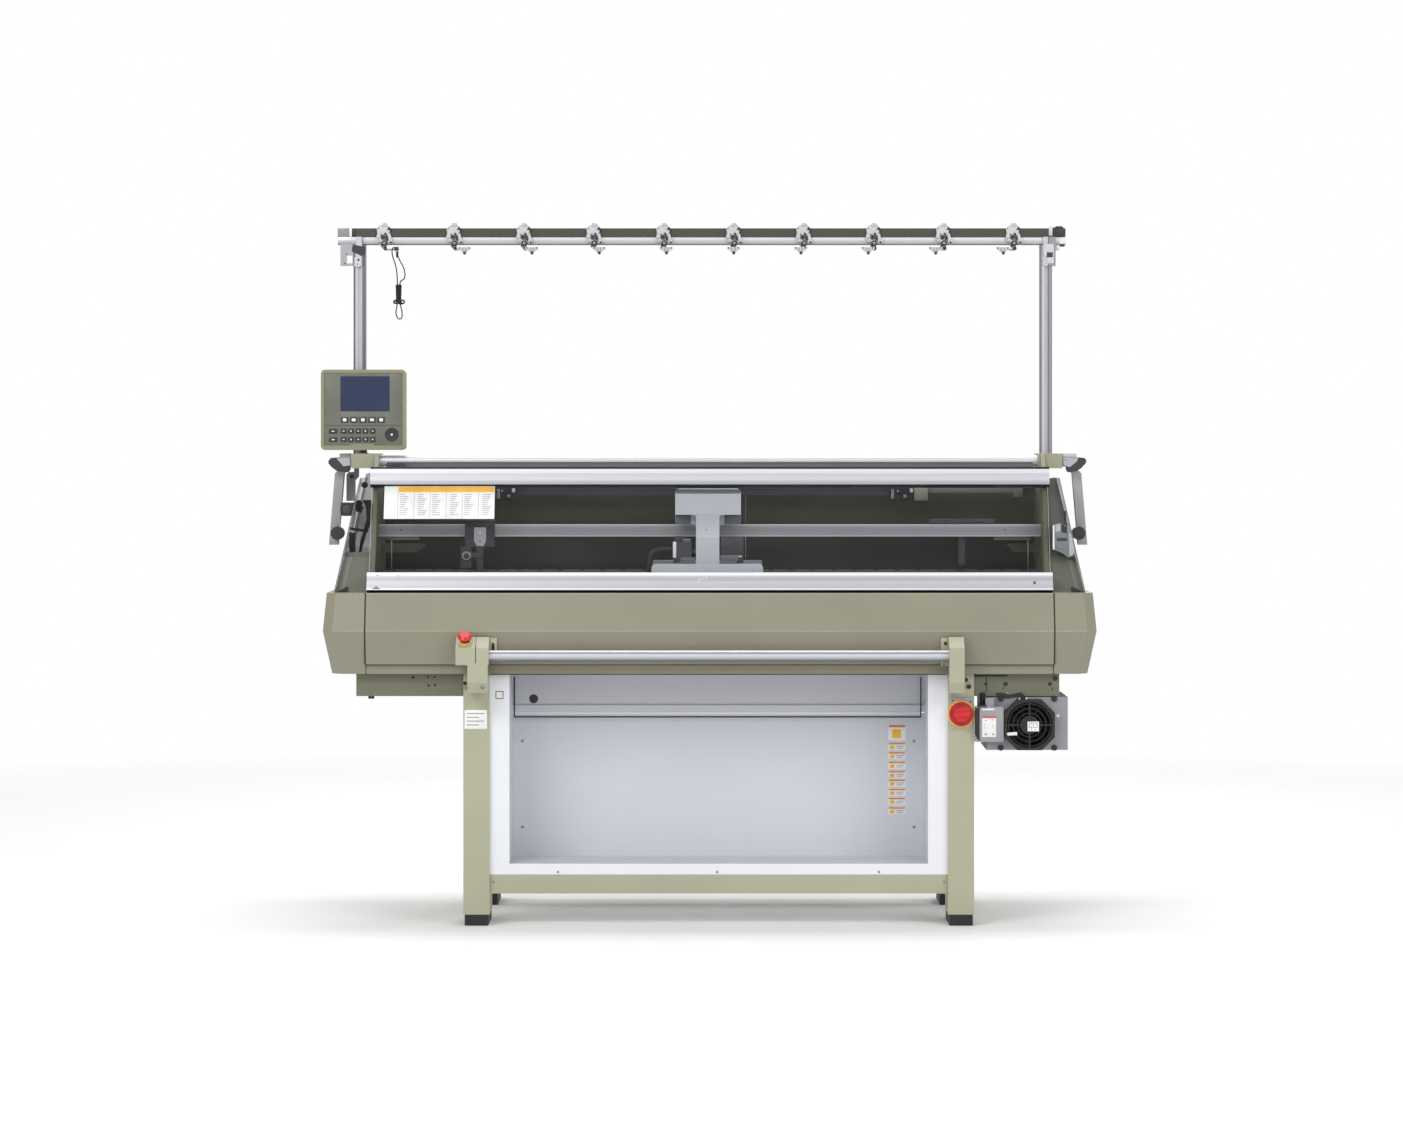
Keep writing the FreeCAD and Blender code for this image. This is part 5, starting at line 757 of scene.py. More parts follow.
each(beam.plate, (
    ([(353, 230), (356.2, 232.4), (353.4, 235.4)], -0.0436, 0.001, 4),
    ([(352, 248), (353, 244.5), (365.6, 247), (365.6, 252.5), (361.5, 256), (352, 251.5)],
     -0.0498, 0.002, 4),
    ([(354.3, 257.4), (361.4, 257.4), (361.4, 264), (359.8, 266.6), (354.3, 266.6)],
     -0.0505, 0.0025, 3, 0.0004),
    ([(1054.5, 227.4), (1056.5, 226.2), (1062, 226.2), (1063.4, 228)], -0.0475, 0.002, 1),
    ([(1043.6, 244), (1053.8, 244), (1053.8, 263.4), (1047, 263.4), (1047, 257), (1043.6, 255)],
     -0.0515, 0.004, 3, 0.0005)))
for px, py, radius, look in ((346.5, 254, 0.0019, 1), (344.6, 263.4, 0.0019, 1), (358.4, 259.8, 0.0032, 4),
                             (357.4, 264.2, 0.0014, 4)):
    beam.stud(px, py, -0.0518, radius, 0.0034, look, 16)
beam.done()

# ---- window rails: marks and latches; rods, brackets and blocks behind the pane

sash = Piece("sash_fittings", "window", "black_plastic", DARK_STEEL, LABEL, STEEL, SCUFF)
SASH_FACE = 0.0141
for x, z, wide, high in ((-0.9205, 0.9432, 0.021, 0.0022), (-0.9205, 0.947, 0.009, 0.0026),
        (0.9225, 0.957, 0.006, 0.007), (-0.918, 0.9795, 0.006, 0.0014), (-0.861, 0.979, 0.006, 0.0012)):
    window_sheet(sash, x - wide / 2, x + wide / 2, z, z + high, SASH_FACE, 0.0006, 0)
for x, z, wide in ((-0.012, 0.969, 0.017), (-0.02, 0.9625, 0.011), (0.004, 0.972, 0.008)):
    window_sheet(sash, x - wide / 2, x + wide / 2, z, z + 0.0024, SASH_FACE, 0.0003, 3)
sash.done()

inside = Piece("interior_fittings", "frame", "grey_plastic", RAIL_GREY, BLACK, UNDER_DARK, STEEL, BEIGE,
               LABEL)
YARN_FACE = -0.119
inside.shown(386, 536.2, 419, 539.8, YARN_FACE, 0.0148)
inside.shown(994, 536.2, 1031, 540, YARN_FACE, 0.0148)
for px, py, radius in ((401.2, 530, 0.0022), (393.5, 535, 0.0018), (416, 535.4, 0.0024), (1005, 529.5, 0.002),
                       (1018, 534.5, 0.002), (684, 532.5, 0.0018), (692, 533.6, 0.0022)):
    inside.stud(px, py, -0.1345, radius, 0.0018, 1, 14)
for px, depth in ((391.6, -0.118), (745.6, 0.1262), (1028, -0.118)):
    x, _ = seen(px, 520, depth)
    inside.box((x - 0.0011, x + 0.0011), (depth, depth + 0.0022), (0.985, 1.0855), 3, 0.0004)
x, _ = seen(745.6, 505, 0.1262)
inside.box((x - 0.0013, x + 0.0013), (0.1262, 0.1285), (1.118, 1.24), 3, 0.0004)
each(inside.prism, (
    ([(-0.93, 1.0385), (-0.93, 1.063), (-0.812, 1.063), (-0.8, 1.06), (-0.826, 1.0385)],
     "y", -0.08, -0.062, 2, 0.0015),
    ([(0.948, 1.0385), (0.948, 1.063), (0.872, 1.063), (0.862, 1.06), (0.884, 1.0385)],
     "y", -0.08, -0.062, 2, 0.0015)))
for px0, px1 in ((496, 516), (890, 914)):
    middle_px = (px0 + px1) / 2
    inside.shown(px0, 487, px1, 493.6, 0.062, 0.0145, 1, 0.001)
    inside.shown(px0 + 3, 493.4, px1 - 5, 500.4, 0.064, 0.012, 1, 0.001)
    inside.shown(px0 + 1, 489, px0 + 4, 498.6, 0.0605, 0.004, 3, 0.0005)
    inside.stud(middle_px + 3, 496, 0.0605, 0.005, 0.006, 3, 16)
    inside.stud(middle_px - 4, 491, 0.0595, 0.0032, 0.005, 3, 14)
    inside.shown(px1 - 4, 488.4, px1 - 1, 492.4, 0.0605, 0.004, 5)
each(inside.shown, (
    (914.4, 487, 928, 500.6, 0.06, 0.016, 4, 0.001), (928, 488, 1014, 492.8, 0.0748, 0.0014, 0, 0.0003),
    (1013.6, 486.6, 1023, 497, 0.06, 0.0165, 0, 0.001)))
inside.done()

# ---- carriage: stem cover, painted shade on the head's bevel, head shadow boxes, motor plates

carriage = Piece("carriage_covers_and_shade_boxes", "carriage", "casting_paint", CASTING, CASTING_DARK_AND_SHADE, BEVEL_SHADE, BLACK,
                 UNIT_PALE)
# The stem cover, and a strip of painted shade on the head's bevel.
each(carriage.prism, (
    ([(-0.1995, 1.0108), (-0.249, 1.0108), (-0.249, 1.084), (-0.2006, 1.15), (-0.1995, 1.15)],
     "x", -0.026, 0.04, 0, 0.0022),
    ([(-0.2006, 1.2079), (-0.1881, 1.2204), (-0.1877, 1.22), (-0.2, 1.2077)],
     "x", -0.083, 0.099, 2)))
# Painted shade: dark boxes below the head's arms, where the head's body is in shadow.
each(carriage.box, (
    ((-0.0845, -0.0405), (-0.1716, -0.1698), (1.1206, 1.149), 1, 0.0008),
    ((0.0545, 0.1005), (-0.1716, -0.1698), (1.1206, 1.149), 1, 0.0008)))
each(carriage.stud, (
    (706.5, 530, -0.2345, 0.0017, 0.003, 3, 14), (655.5, 566.5, -0.2912, 0.0009, 0.0014, 3, 10)))
each(carriage.shown, (
    (672.9, 541.8, 676.2, 557.6, -0.2468, 0.004, 4), (674.6, 536, 683, 542.2, -0.236, 0.02, 3, 0.001),
    (683, 538.6, 690.5, 542.2, -0.24, 0.02, 1, 0.001),
    (680.5, 557.4, 695, 561.4, -0.2462, 0.026, 1, 0.0008),
    (674, 557.4, 680.5, 562, -0.2456, 0.02, 3, 0.0008), (721.6, 538, 742.4, 554.6, -0.2464, 0.0016, 3),
    (720.4, 555, 738.6, 561.2, -0.2472, 0.03, 1, 0.0008), (738.6, 555.8, 742, 557, -0.2464, 0.02, 4)))
for py in (568.2, 570.4):
    carriage.stud(752.8, py, -0.2912, 0.0009, 0.0014, 3, 10)
carriage.done()

left_feeder = Piece("left_feeder", "left_carrier", "steel", STEEL, BLACK, UNIT_PALE)
left_feeder.plate([(474, 527), (486, 527), (486, 541), (483.5, 546), (477, 546), (474, 541)],
                  -0.1515, 0.003, 0, 0.0005)
each(left_feeder.shown, (
    (466.5, 521, 490.5, 527.4, -0.1525, 0.004, 1, 0.001), (466, 553, 483, 559, -0.1505, 0.012, 1, 0.001)))
each(left_feeder.stud, (
    (480, 533, -0.1545, 0.0042, 0.004, 2), (480, 541, -0.1535, 0.0022, 0.003, 1),
    (466.2, 556, -0.1555, 0.0135, 0.008, 0, 28), (466.2, 556, -0.1575, 0.0085, 0.003, 1, 24)))
left_feeder.done()

right_feeder = Piece("right_feeder", "right_carrier", "steel", STEEL, BLACK, UNIT_PALE)
each(right_feeder.shown, (
    (944, 520.4, 948, 524.4, -0.1203, 0.0012, 1, 0.0003),
    (962, 519.6, 984, 522.4, -0.1204, 0.0012, 1, 0.0003),
    (986, 523.4, 994, 526, -0.1203, 0.0012, 1, 0.0003)))
right_feeder.done()

# ---- front cover: seams, painted highlights along the crease and top edge, and a painted shadow line under the lower fold

COVER_EDGE = [(-0.365, 0.932), (-0.395, 0.827), (-0.375, 0.733), (-0.362, 0.7325), (-0.362, 0.706)]
cover_lines = Piece("cover_seams_and_shading", "frame", "cover_paint", SEAM_AND_SHADOW, CREASE_HIGHLIGHT)
SEAM_HALF = 0.0019
for x in (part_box("front_cover")[0][0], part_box("front_cover")[1][0]):
    outer = [(y - 0.0006, z) for y, z in COVER_EDGE]
    inner = [(y + 0.003, z) for y, z in reversed(COVER_EDGE)]
    cover_lines.prism(outer + inner, "x", x - SEAM_HALF, x + SEAM_HALF)
FRONT_SPAN = (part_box("front_cover")[0][0] + 0.002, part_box("front_cover")[1][0] - 0.002)
END_SPANS = ((-1.038, -0.9525), (0.979, 1.064))
# Painted light: a highlight strip along the crease, a shadow line under the lower fold and a highlight strip
# along the top edge.
for low, high, y_low, y_high, look, spans in (
        (0.8258, 0.8282, -0.39495, -0.39475, 1, (FRONT_SPAN, *END_SPANS)),
        (0.7302, 0.7331, -0.36245, -0.36245, 0, (FRONT_SPAN,)),
        (0.9295, 0.932, -0.36585, -0.36515, 1, (FRONT_SPAN,))):
    strip = [(y_low - 0.0003, low), (y_high - 0.0003, high), (y_high + 0.001, high), (y_low + 0.001, low)]
    for x0, x1 in spans:
        cover_lines.prism(strip, "x", x0, x1, look)
cover_lines.done()

# ---- side guards: inner panels, clear covers, latch, clamping knob and feet

FRAME_OUT = {-1: -0.9345, 1: 0.9525}
SHIELD_FOOT, SHIELD_LEAN = 0.9323, 0.2064
GUARD_FRONT, GUARD_FOOT, WINDOW_SLOPE = -0.301, 0.932, 0.4452


def shield_at(side, z):
    """x of the shield's inner face at a height, on the left (-1) or the right (1)."""
    lean = (z - SHIELD_FOOT) * SHIELD_LEAN
    return -1.0375 + lean if side < 0 else 1.0635 - lean


def guard_panel(low, high, inner, outer, proud, look):
    """A panel behind the window's lean. Its inner and outer edges are functions of height."""
    corners = []
    for z, edge in ((low, inner), (low, outer), (high, outer), (high, inner)):
        corners.append((edge(z), GUARD_FRONT + (z - GUARD_FOOT) * WINDOW_SLOPE - proud, z))
    guards.slab(corners, 0.002, look)


def frame_edge(side):
    """The side frame's outer face, as a function of height."""
    return lambda z: FRAME_OUT[side]


def shield_edge(side, inset=0.0):
    """The shield's inner face less an inset, as a function of height."""
    return lambda z: shield_at(side, z) - side * inset


covers = Piece("guard_covers", "frame", "smoke_pane", SMOKE_PALE, EDGE_HIGHLIGHT)
covers.prism([
    (-0.9345, 1.0446), (-0.9345, 1.2625), (-0.9575, 1.2665), (-0.969, 1.2625),
    (shield_at(-1, 1.235), 1.235), (shield_at(-1, 1.028), 1.028), (shield_at(-1, 1.022) + 0.004, 1.0225),
], "y", -0.1, -0.0975, 0, 0.0006)
# Painted highlight: a pale strip along the clear cover's lower edge.
covers.prism([
    (shield_at(-1, 1.028), 1.0245), (-0.9345, 1.044), (-0.9345, 1.0465), (shield_at(-1, 1.028), 1.027),
], "y", -0.104, -0.0996, 1)
covers.plate([
    (1053.2, 525), (1060, 523), (1068.5, 527), (1072, 535), (1075, 549), (1073.6, 556), (1068.5, 557.5),
    (1062, 553), (1053.2, 549.5)], -0.3, 0.0578, 0, 0.0008)
covers.done()

guards = Piece("guard_fittings", "frame", "grey_plastic", BLACK, GUARD, GUARD_PALE, ARMS, GRIP, LABEL,
               CASTING_DARK_AND_SHADE, KNOB_FACE)
guard_panel(0.9325, 1.043, frame_edge(-1), shield_edge(-1), 0, 1)
guard_panel(0.9325, 1.2515, frame_edge(1), shield_edge(1), 0, 1)
guard_panel(0.933, 1.03, shield_edge(-1, 0.022), shield_edge(-1, 0.001), 0.0008, 2)
guard_panel(0.933, 1.02, shield_edge(1, 0.022), shield_edge(1, 0.001), 0.0008, 2)
each(guards.plate, (
    ([(362.4, 500), (370.9, 500), (372.6, 506), (372.4, 519), (366, 534), (360.6, 554), (358.6, 554),
     (360.4, 540), (363.4, 531), (366.6, 519), (365.6, 506)], -0.106, 0.0066, 0, 0.0012),
    ([(353.5, 502), (360, 499.8), (364.5, 505), (361, 513), (356.5, 511.5)], -0.1056, 0.006, 0, 0.001),
    ([(350, 527), (368, 530), (368, 532.6), (350, 530)], -0.1035, 0.004, 6, 0.0005),
    ([(348.6, 532), (355.4, 533), (355.4, 552), (349.4, 554)], -0.1035, 0.004, 6, 0.0006),
    ([(346.4, 474.4), (349, 471.9), (354, 471.9), (354, 466.2), (359, 466.2), (359, 476.4), (355.4, 480.4),
     (355.4, 501), (346.4, 501)], -0.034, 0.008, 3, 0.0012),
    ([(1055.4, 530), (1062, 528), (1067.6, 531), (1067.6, 552), (1062, 549.6), (1055.4, 547.4)], -0.297,
     0.03, 6, 0.0008),
    ([(1057, 538), (1067, 538), (1067, 541), (1057, 541)], -0.3012, 0.002, 4),
    ([(1055.6, 524.8), (1060.6, 523.6), (1060.6, 531), (1055.6, 532)], -0.3012, 0.0015, 3, 0.0004),
    ([(1061.4, 524), (1067, 527), (1067, 533.5), (1061.4, 532)], -0.3012, 0.0015, 0, 0.0004),
    ([(1052.9, 525.4), (1054.4, 525.2), (1054.4, 549.6), (1052.9, 549.2)], -0.3015, 0.002, 5),
    ([(1068.8, 531), (1071, 534), (1074.4, 549), (1073, 555), (1069.4, 556)], -0.3012, 0.0015, 3, 0.0004)))
each(guards.stud, (
    (364.6, 485, -0.1095, 0.0088, 0.01, 0, 24), (365.6, 549, -0.104, 0.0032, 0.0045, 5, 14),
    (351.4, 476.6, -0.038, 0.0058, 0.0045, 0, 18)))
each(guards.shown, (
    (362.2, 503.8, 364.6, 506.8, -0.1072, 0.001, 5), (1064.6, 511, 1066.4, 520, -0.318, 0.03)))
knob = (-1.0172, -0.1475, 1.163)
LOBES = 0.0186
guards.turned(knob, FRONT, [
    (0, 0.0165), (0.002, 0.0195), (0.0205, 0.0195), (0.0222, 0.0178), (0.0222, 0.013)], 0, 32)
guards.turned(knob, FRONT, [(0.02, 0.0128), (0.0236, 0.0122), (0.024, 0.011)], 7, 28)
for index in range(8):
    around = math.pi * (index + 0.5) / 4
    lobe = (knob[0] + LOBES * math.cos(around), knob[1] - 0.0015, knob[2] + LOBES * math.sin(around))
    guards.turned(lobe, FRONT, [(0, 0.0022), (0.0195, 0.0022), (0.0205, 0.0014)], 0, 10)
each(guards.prism, (
    ([(-1.0362, 0.932), (-1.004, 0.932), (-1.004, 0.947), (-1.008, 0.947)], "y", -0.306, -0.262, 0, 0.001),
    ([(1.0622, 0.932), (1.03, 0.932), (1.03, 0.947), (1.034, 0.947)], "y", -0.306, -0.262, 0, 0.001)))
guards.done()

edges = Piece("window_edge_highlights", "window", "clear_pane", EDGE_HIGHLIGHT)
# Painted highlight: pale strips along the pane's side edges.
for x in (-0.9425, 0.9685):
    window_sheet(edges, x - 0.0006, x + 0.0006, 0.986, 1.226, 0.001, 0.0024, 0)
edges.done()

# ---- window arms: pale hub covers with curved black grips round them

hubs = Piece("arm_covers", "window", "grey_plastic", ARMS, GRIP, CASTING)
each(hubs.plate, (
    ([(336.3, 458.2), (349.7, 457.7), (350.3, 463.6), (350.1, 465.4), (343.6, 466.4)],
     -0.1308, 0.0022, 2, 0.0006),
    ([(328.4, 460.6), (331, 457.8), (336.2, 457.8), (338.8, 460.6), (343.2, 466.3), (350, 466.6),
      (347.4, 470.4), (343.6, 471.8), (337, 471.2), (331.4, 467), (328.4, 463.4)],
     -0.1304, 0.0018, 1, 0.0005),
    ([(1063.4, 457.7), (1078.4, 457.9), (1076.6, 461.8), (1069.6, 467.2), (1063.4, 465.2)],
     -0.1308, 0.0022, 2, 0.0006),
    ([(1078.5, 457.9), (1084.5, 457.8), (1086.3, 460), (1086, 463), (1081, 468.5), (1075.5, 471.6),
      (1070.5, 471.8), (1066.4, 470.2), (1066.4, 467.8), (1070.2, 467), (1074.6, 463.8), (1077, 460.5)],
     -0.1304, 0.0018, 1, 0.0005)))
hubs.stud(1065.4, 460, -0.1314, 0.0018, 0.0008, 1, 12)
hubs.done()

# ---- start bar brackets: stop button's collar, seams, holes and screws

marks = Piece("bracket_fittings", "frame", "black_plastic", SEAM_AND_SHADOW, BLACK, FRAME, STEEL, YELLOW, LABEL, CREASE_HIGHLIGHT)
FOOT = (-0.6676, -0.4275, 0.797)
LEANING = (0, -0.51504, 0.85717)
marks.turned(FOOT, LEANING, [(-0.002, 0.0158), (0.0045, 0.0158), (0.0054, 0.0148)], 4, 32)
marks.turned(FOOT, LEANING, [(0.004, 0.0134), (0.0103, 0.0134), (0.0108, 0.0122)], 1, 28)
each(marks.shown, (
    (475.2, 645, 475.9, 663.5, -0.4516, 0.0012), (489, 638, 496.8, 661, -0.3975, 0.018, 2, 0.0008),
    (491.6, 644.6, 494.6, 660, -0.3979, 0.001), (941, 638, 949.6, 666, -0.3975, 0.018, 2, 0.0008)))
marks.prism([(-0.451, 0.7835), (-0.4025, 0.8126), (-0.4025, 0.8115), (-0.451, 0.7824)], "x", -0.6378, -0.6366)
each(marks.stud, (
    (493, 644.5, -0.3982, 0.0045, 0.002, 1), (945.5, 643.5, -0.3984, 0.0052, 0.002, 1),
    (944, 664.2, -0.3984, 0.0022, 0.002, 1, 14)))
for px, py, radius in ((465.0, 683.3, 0.0056), (966, 680, 0.0058)):
    marks.stud(px, py, -0.3462 if px < 500 else -0.3488, radius, 0.0016, 1, 22)
for px, py, depth, radius in ((465.2, 688, -0.345, 0.0048), (969, 686.7, -0.348, 0.0062),
        (470.8, 690.8, -0.345, 0.0026)):
    x, z = seen(px, py, depth)
    marks.screw(x, depth, z, radius, look=1 if radius > 0.006 or radius < 0.003 else 3)
marks.screw(-0.6185, -0.4413, 0.6739, 0.0056, (0, -0.78, -0.62), 3)
marks.done()

# ---- main switch: round plate, tab with two screws, and the knob's rim and grip

plate = Piece("switch_plate", "frame", "grey_plastic", YELLOW, LABEL_GREY, BLACK)
SWITCH = (0.7171, -0.348, 0.593)
plate.turned(SWITCH, FRONT, [(-0.0005, 0.0375), (0.0022, 0.0375), (0.003, 0.0364)], 0, 48)
plate.shown(950.4, 697.5, 973, 703.8, -0.3494, 0.0016, 1)
for px, py in ((952.8, 700.5), (970.3, 701.2)):
    plate.stud(px, py, -0.3506, 0.0021, 0.0014, 2, 14)
plate.done()
switch_grip = Piece("switch_grip", "main_switch", "red_plastic", RED, RED_DARK)
each(switch_grip.turned, (
    ((0.717, -0.3695, 0.593), FRONT, [(0, 0.0285), (0.002, 0.0285), (0.0026, 0.0275)], 1, 40),
    ((0.717, -0.3715, 0.593), FRONT, [(0, 0.0215), (0.004, 0.0215), (0.0052, 0.02)], 0, 36)))
switch_grip.box((0.6945, 0.7395), (-0.3815, -0.3745), (0.5862, 0.6005), 0, 0.0022)
switch_grip.done()

# ---- cooling unit: knobs, labels, cable clips and the connector's conduit

unit = Piece("fan_fittings", "frame", "black_plastic", WRAP, LABEL, LABEL_GREY, SCARLET, LEAF, FAN_PAINT,
             GREY, STEEL)
for px in (1000.8, 1054.4):
    for py in (698.8, 748):
        unit.stud(px, py, -0.3375, 0.0079, 0.0078, 0, 24)
each(unit.stud, (
    (1057.8, 716, -0.331, 0.0046, 0.0012, 1), (1007.4, 692.8, -0.3315, 0.0034, 0.002, 7, 16)))
each(unit.shown, (
    (1027.6, 721.6, 1039, 731.3, -0.3628, 0.001, 1), (982.1, 716.6, 996.1, 737, -0.361, 0.0012, 1),
    (982.1, 716.4, 996.1, 718.2, -0.3615, 0.0006, 3), (981.7, 708.5, 994.4, 710.2, -0.361, 0.0012, 1),
    (985.4, 697.8, 994, 707.2, -0.3585, 0.02, 5, 0.002), (988.4, 697.8, 990, 707, -0.3592, 0.001, 6),
    (978.6, 705.2, 987, 708.4, -0.3605, 0.02, 0, 0.001), (1018.6, 697.8, 1020.2, 699.6, -0.336, 0.002, 1),
    (1025.6, 697.6, 1027.4, 699.8, -0.336, 0.002, 1)))
for row in range(4):
    for column in range(5):
        if (row * 3 + column * 2) % 4 != 1:
            left = 1028.9 + column * 1.9
            unit.shown(left, 722.6 + row * 2.1, left + 1.2, 723.7 + row * 2.1, -0.3631, 0.0005, 2)
each(unit.plate, (
    ([(1006.6, 733.6), (1008.4, 732.6), (1016.8, 732), (1017.4, 735.2), (1008, 735.6)], -0.3628, 0.001, 1),
    ([(974.8, 708.6), (979.6, 707), (979.6, 741.4), (977.4, 739), (974.8, 734)],
     -0.3612, 0.0014, 0, 0.0004),
    ([(979.6, 706.9), (1003.4, 706.9), (1003.4, 707.6), (979.6, 707.6)], -0.3606, 0.001, 6),
    ([(996, 693.6), (1000, 692.6), (1010, 695), (1017, 693.2), (1022, 692.6), (1027.6, 699.4),
     (1024.6, 700.2), (1019, 699.4), (1016.4, 697), (1008, 698.4), (997, 697.8)], -0.3345, 0.0062, 0,
     0.001)))
for px, py, wide in ((984.8, 720.2, 1.9), (991.4, 719.4, 2.2), (984, 724, 0.9), (984, 727.4, 0.9),
        (992.4, 725.8, 1.2)):
    unit.shown(px, py, px + wide, py + 0.8, -0.3613, 0.0005, 2)
for px in (985.7, 993.4):
    unit.stud(px, 734.2, -0.3618, 0.0033, 0.001, 4, 16)
sleeve = [(0, 0.0068)]
for index in range(9):
    low = 0.0022 + index * 0.0042
    sleeve += [(low, 0.0076), (low + 0.0018, 0.0076), (low + 0.0026, 0.0066), (low + 0.0036, 0.0066)]
x, z = seen(982.6, 706.6, -0.335)
unit.turned((x, -0.335, z - 0.001), UP, sleeve, 0, 18)
unit.done()

# ---- boxes under the end covers, bin and beam: holes, seams and screws, with painted shadow and highlight strips on the bin

under = Piece("stand_fittings", "frame", "black_plastic", SEAM_AND_SHADOW, BLACK, STEEL, LABEL, BIN_WHITE_AND_HIGHLIGHT)
UNDER_FACE = -0.33
for px, py, radius in ((1005.5, 684, 0.0066), (1050, 684, 0.0058), (1055.1, 678.4, 0.0076),
        (986, 684, 0.0044), (1003.3, 688.2, 0.0022), (413, 677.5, 0.0044), (428, 677, 0.0032),
        (434.5, 677, 0.0032), (428.5, 685.5, 0.0036), (435, 685, 0.0036)):
    under.stud(px, py, UNDER_FACE - 0.001, radius, 0.0014, 1)
for x0, y0, x1, y1 in ((986, 675, 987, 692), (974, 674.8, 1007.5, 676.8), (1052, 671.6, 1052.9, 676),
        (1052, 687, 1052.9, 691)):
    under.shown(x0, y0, x1, y1, UNDER_FACE - 0.0006, 0.001, 1)
# Painted shadow: a dark strip where the front cover shades the bin's top edge, and one in the gap under the
# bin's upper panel; painted highlight: a brighter strip along that panel's lower lip.
each(under.shown, (
    (368.2, 695, 374.2, 698.8, -0.328, 0.012, 1, 0.001), (490, 673.1, 946, 674.8, -0.3336, 0.0012),
    (515, 711.5, 921, 714.6, -0.1186, 0.001, 4), (515, 716.2, 921, 717.6, -0.1112, 0.0012)))
# Painted shade: a black disc in the bin's port hole.
under.turned((-0.4899, -0.1098, 0.6215), (0, 1, 0), [(0, 0.0145), (0.02, 0.0145)], 1, 28)
# Painted shadow: dark strips in the gaps at both sides of the bin's upper panel.
for px in (514.4, 920.8):
    under.shown(px - 0.6, 677, px + 0.6, 717, -0.1192, 0.0012)
for px in (522.5, 914):
    for py in (741, 827):
        x, z = seen(px, py, BIN_BACK)
        under.screw(x, BIN_BACK, z, 0.0042, look=2)
for px, py in ((493.6, 882), (944, 882), (558, 872), (717, 872), (879, 872)):
    x, z = seen(px, py, BIN_FRAME)
    under.screw(x, BIN_FRAME, z, 0.0034, look=2)
under.done()

# ---- rear cover: panel seams, vents and screws

rear = Piece("rear_cover_fittings", "frame", "black_plastic", SEAM_AND_SHADOW, BLACK, STEEL)
REAR_LEFT, REAR_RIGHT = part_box("rear_cover")[0][0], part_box("rear_cover")[1][0]
REAR_MIDDLE = (REAR_LEFT + REAR_RIGHT) / 2
SHOULDER, TOP, SLOPE_OUT = (0.4553, 1.01), (0.215, 1.245), (0.699, 0.715)


def on_slope(share, out):
    """y and z of a point on the rear cover's slope, share of the way up and standing out."""
    return (SHOULDER[0] + (TOP[0] - SHOULDER[0]) * share + SLOPE_OUT[0] * out,
            SHOULDER[1] + (TOP[1] - SHOULDER[1]) * share + SLOPE_OUT[1] * out)


def on_rear(x0, x1, low, high, look, out=0.0004):
    """A thin strip on the slope."""
    rear.prism([on_slope(low, -0.001), on_slope(high, -0.001), on_slope(high, out), on_slope(low, out)],
               "x", x0, x1, look)


for x in (REAR_MIDDLE - 0.32, REAR_MIDDLE + 0.32):
    on_rear(x - 0.0009, x + 0.0009, 0.012, 0.985, 0)
for side in (-1, 1):
    middle = REAR_MIDDLE + side * 0.62
    for row in range(8):
        on_rear(middle - 0.09, middle + 0.09, 0.36 + row * 0.035, 0.374 + row * 0.035, 1, 0.0008)
    for x in (REAR_MIDDLE + side * 0.3, REAR_MIDDLE + side * 0.34, REAR_MIDDLE + side * 0.92):
        for share in (0.09, 0.91):
            y, z = on_slope(share, 0)
            rear.turned((x, y, z), (0, *SLOPE_OUT), [
                (-0.001, 0.0055), (0.0016, 0.0055), (0.0024, 0.0045)], 2, 18)
rear.done()

# ---- floor, lamps and world

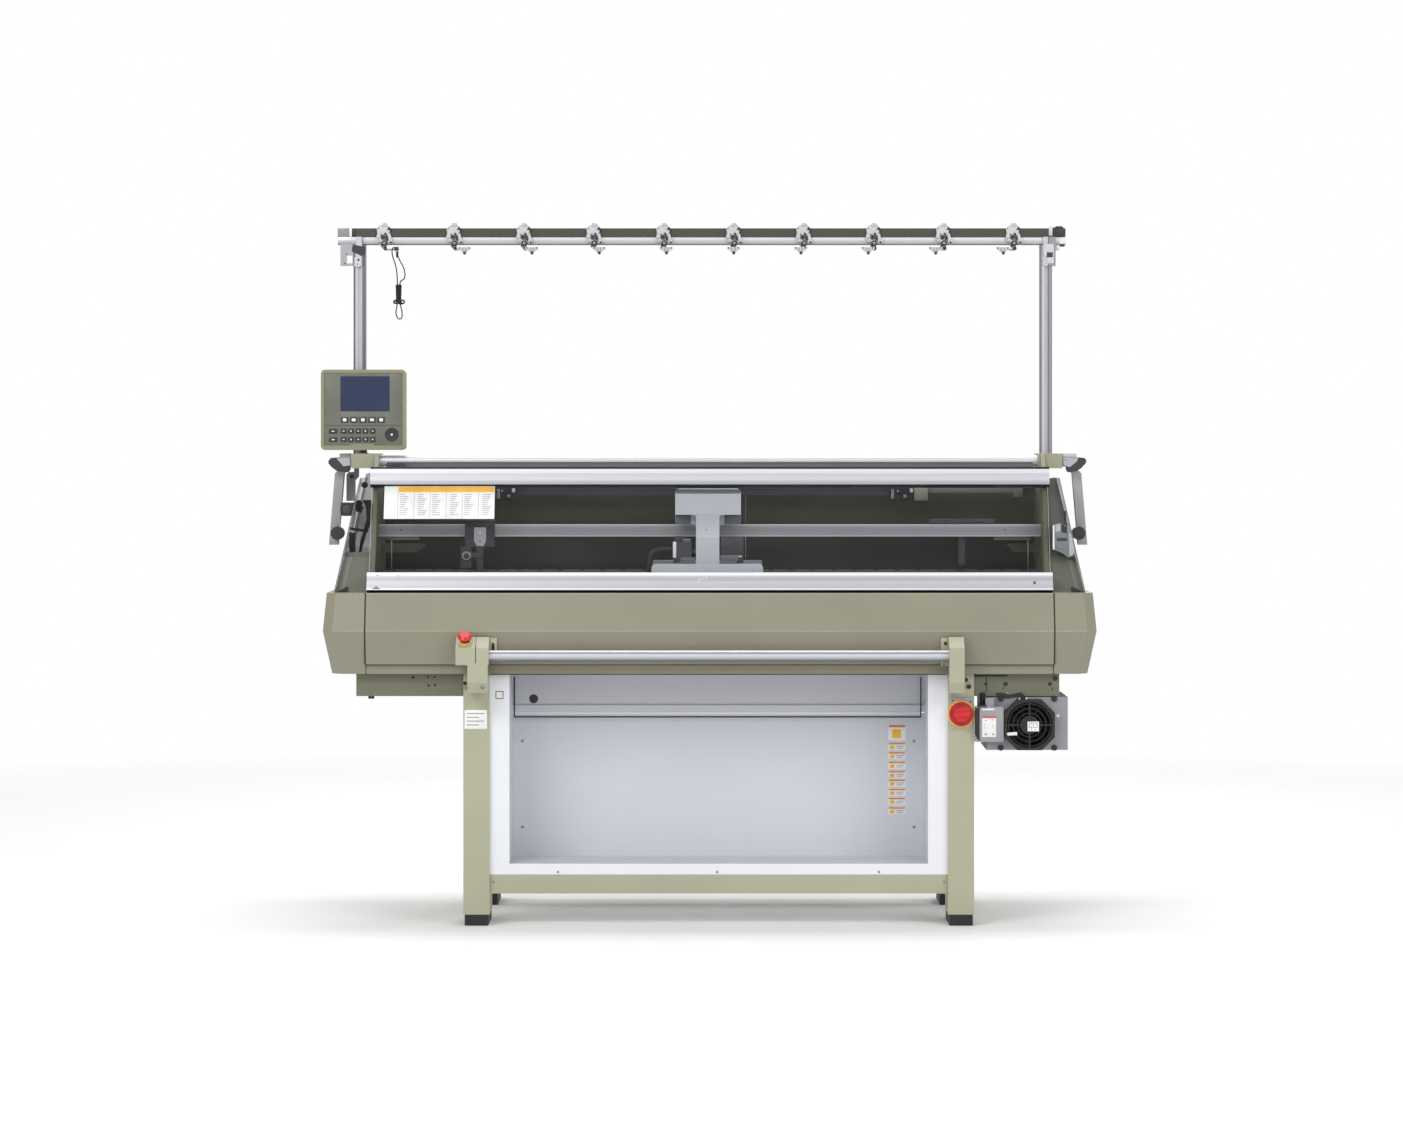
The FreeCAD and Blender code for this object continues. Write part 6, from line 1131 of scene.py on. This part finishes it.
FLOOR_RADIUS, FADE_START, FADE_END = 14, 2.6, 6.5
floor_mesh = bmesh.new()
bmesh.ops.create_circle(floor_mesh, cap_ends=True, segments=96, radius=FLOOR_RADIUS)
floor_data = bpy.data.meshes.new("floor")
floor_mesh.to_mesh(floor_data)
floor_mesh.free()
floor = linked("floor", floor_data)
f = Finish("floor")
f.base(f.mix(f.spread(f.noise(2.5, 4), 0, 1), (0.93, 0.93, 0.93, 1), (0.95, 0.95, 0.95, 1)))
f.set(Roughness=0.85, Specular_IOR_Level=0.1)
length = f.add("ShaderNodeVectorMath", operation="LENGTH")
f.link(f.place, length.inputs[0])
clear = f.add("ShaderNodeBsdfTransparent")
blend = f.add("ShaderNodeMixShader")
f.link(f.spread(length.outputs["Value"], 0, 1, FADE_START, FADE_END), blend.inputs[0])
f.link(f.shader.outputs[0], blend.inputs[1])
f.link(clear.outputs[0], blend.inputs[2])
f.link(blend.outputs[0], f.tree.nodes["Material Output"].inputs["Surface"])
floor_data.materials.append(f.material)

world = bpy.context.scene.world or bpy.data.worlds.new("world")
bpy.context.scene.world = world
world.use_nodes = True
tree = world.node_tree
tree.nodes.clear()
rays = tree.nodes.new("ShaderNodeLightPath")
shown_rays = rays.outputs["Is Camera Ray"]
for kind in ("Is Transmission Ray", "Is Glossy Ray"):
    either = tree.nodes.new("ShaderNodeMath")
    either.operation = "MAXIMUM"
    tree.links.new(shown_rays, either.inputs[0])
    tree.links.new(rays.outputs[kind], either.inputs[1])
    shown_rays = either.outputs[0]
strength = tree.nodes.new("ShaderNodeMapRange")
strength.inputs["To Min"].default_value = 0.55
strength.inputs["To Max"].default_value = 1.0
tree.links.new(shown_rays, strength.inputs["Value"])
background = tree.nodes.new("ShaderNodeBackground")
background.inputs["Color"].default_value = (1, 1, 1, 1)
tree.links.new(strength.outputs[0], background.inputs["Strength"])
output = tree.nodes.new("ShaderNodeOutputWorld")
tree.links.new(background.outputs[0], output.inputs["Surface"])


def lamp(name, place, aim, width, height, power):
    """A rectangular lamp that faces the aim."""
    data = bpy.data.lights.new(name, "AREA")
    data.shape = "RECTANGLE"
    data.size, data.size_y, data.energy = width, height, power
    thing = linked(name, data)
    thing.location = place
    thing.rotation_euler = (Vector(aim) - Vector(place)).to_track_quat("-Z", "Y").to_euler()


lamp("key", (-3.2, -5.2, 4.6), (0, 0, 0.9), 3.2, 2.4, 150)
lamp("fill", (3.8, -5.0, 3.2), (0, 0, 0.9), 3.0, 2.4, 90)
lamp("top", (0, 0.6, 5.2), (0, 0, 0.9), 4.0, 2.0, 110)
lamp("back", (0.5, 5.0, 3.4), (0, 0, 1.0), 3.5, 2.0, 90)
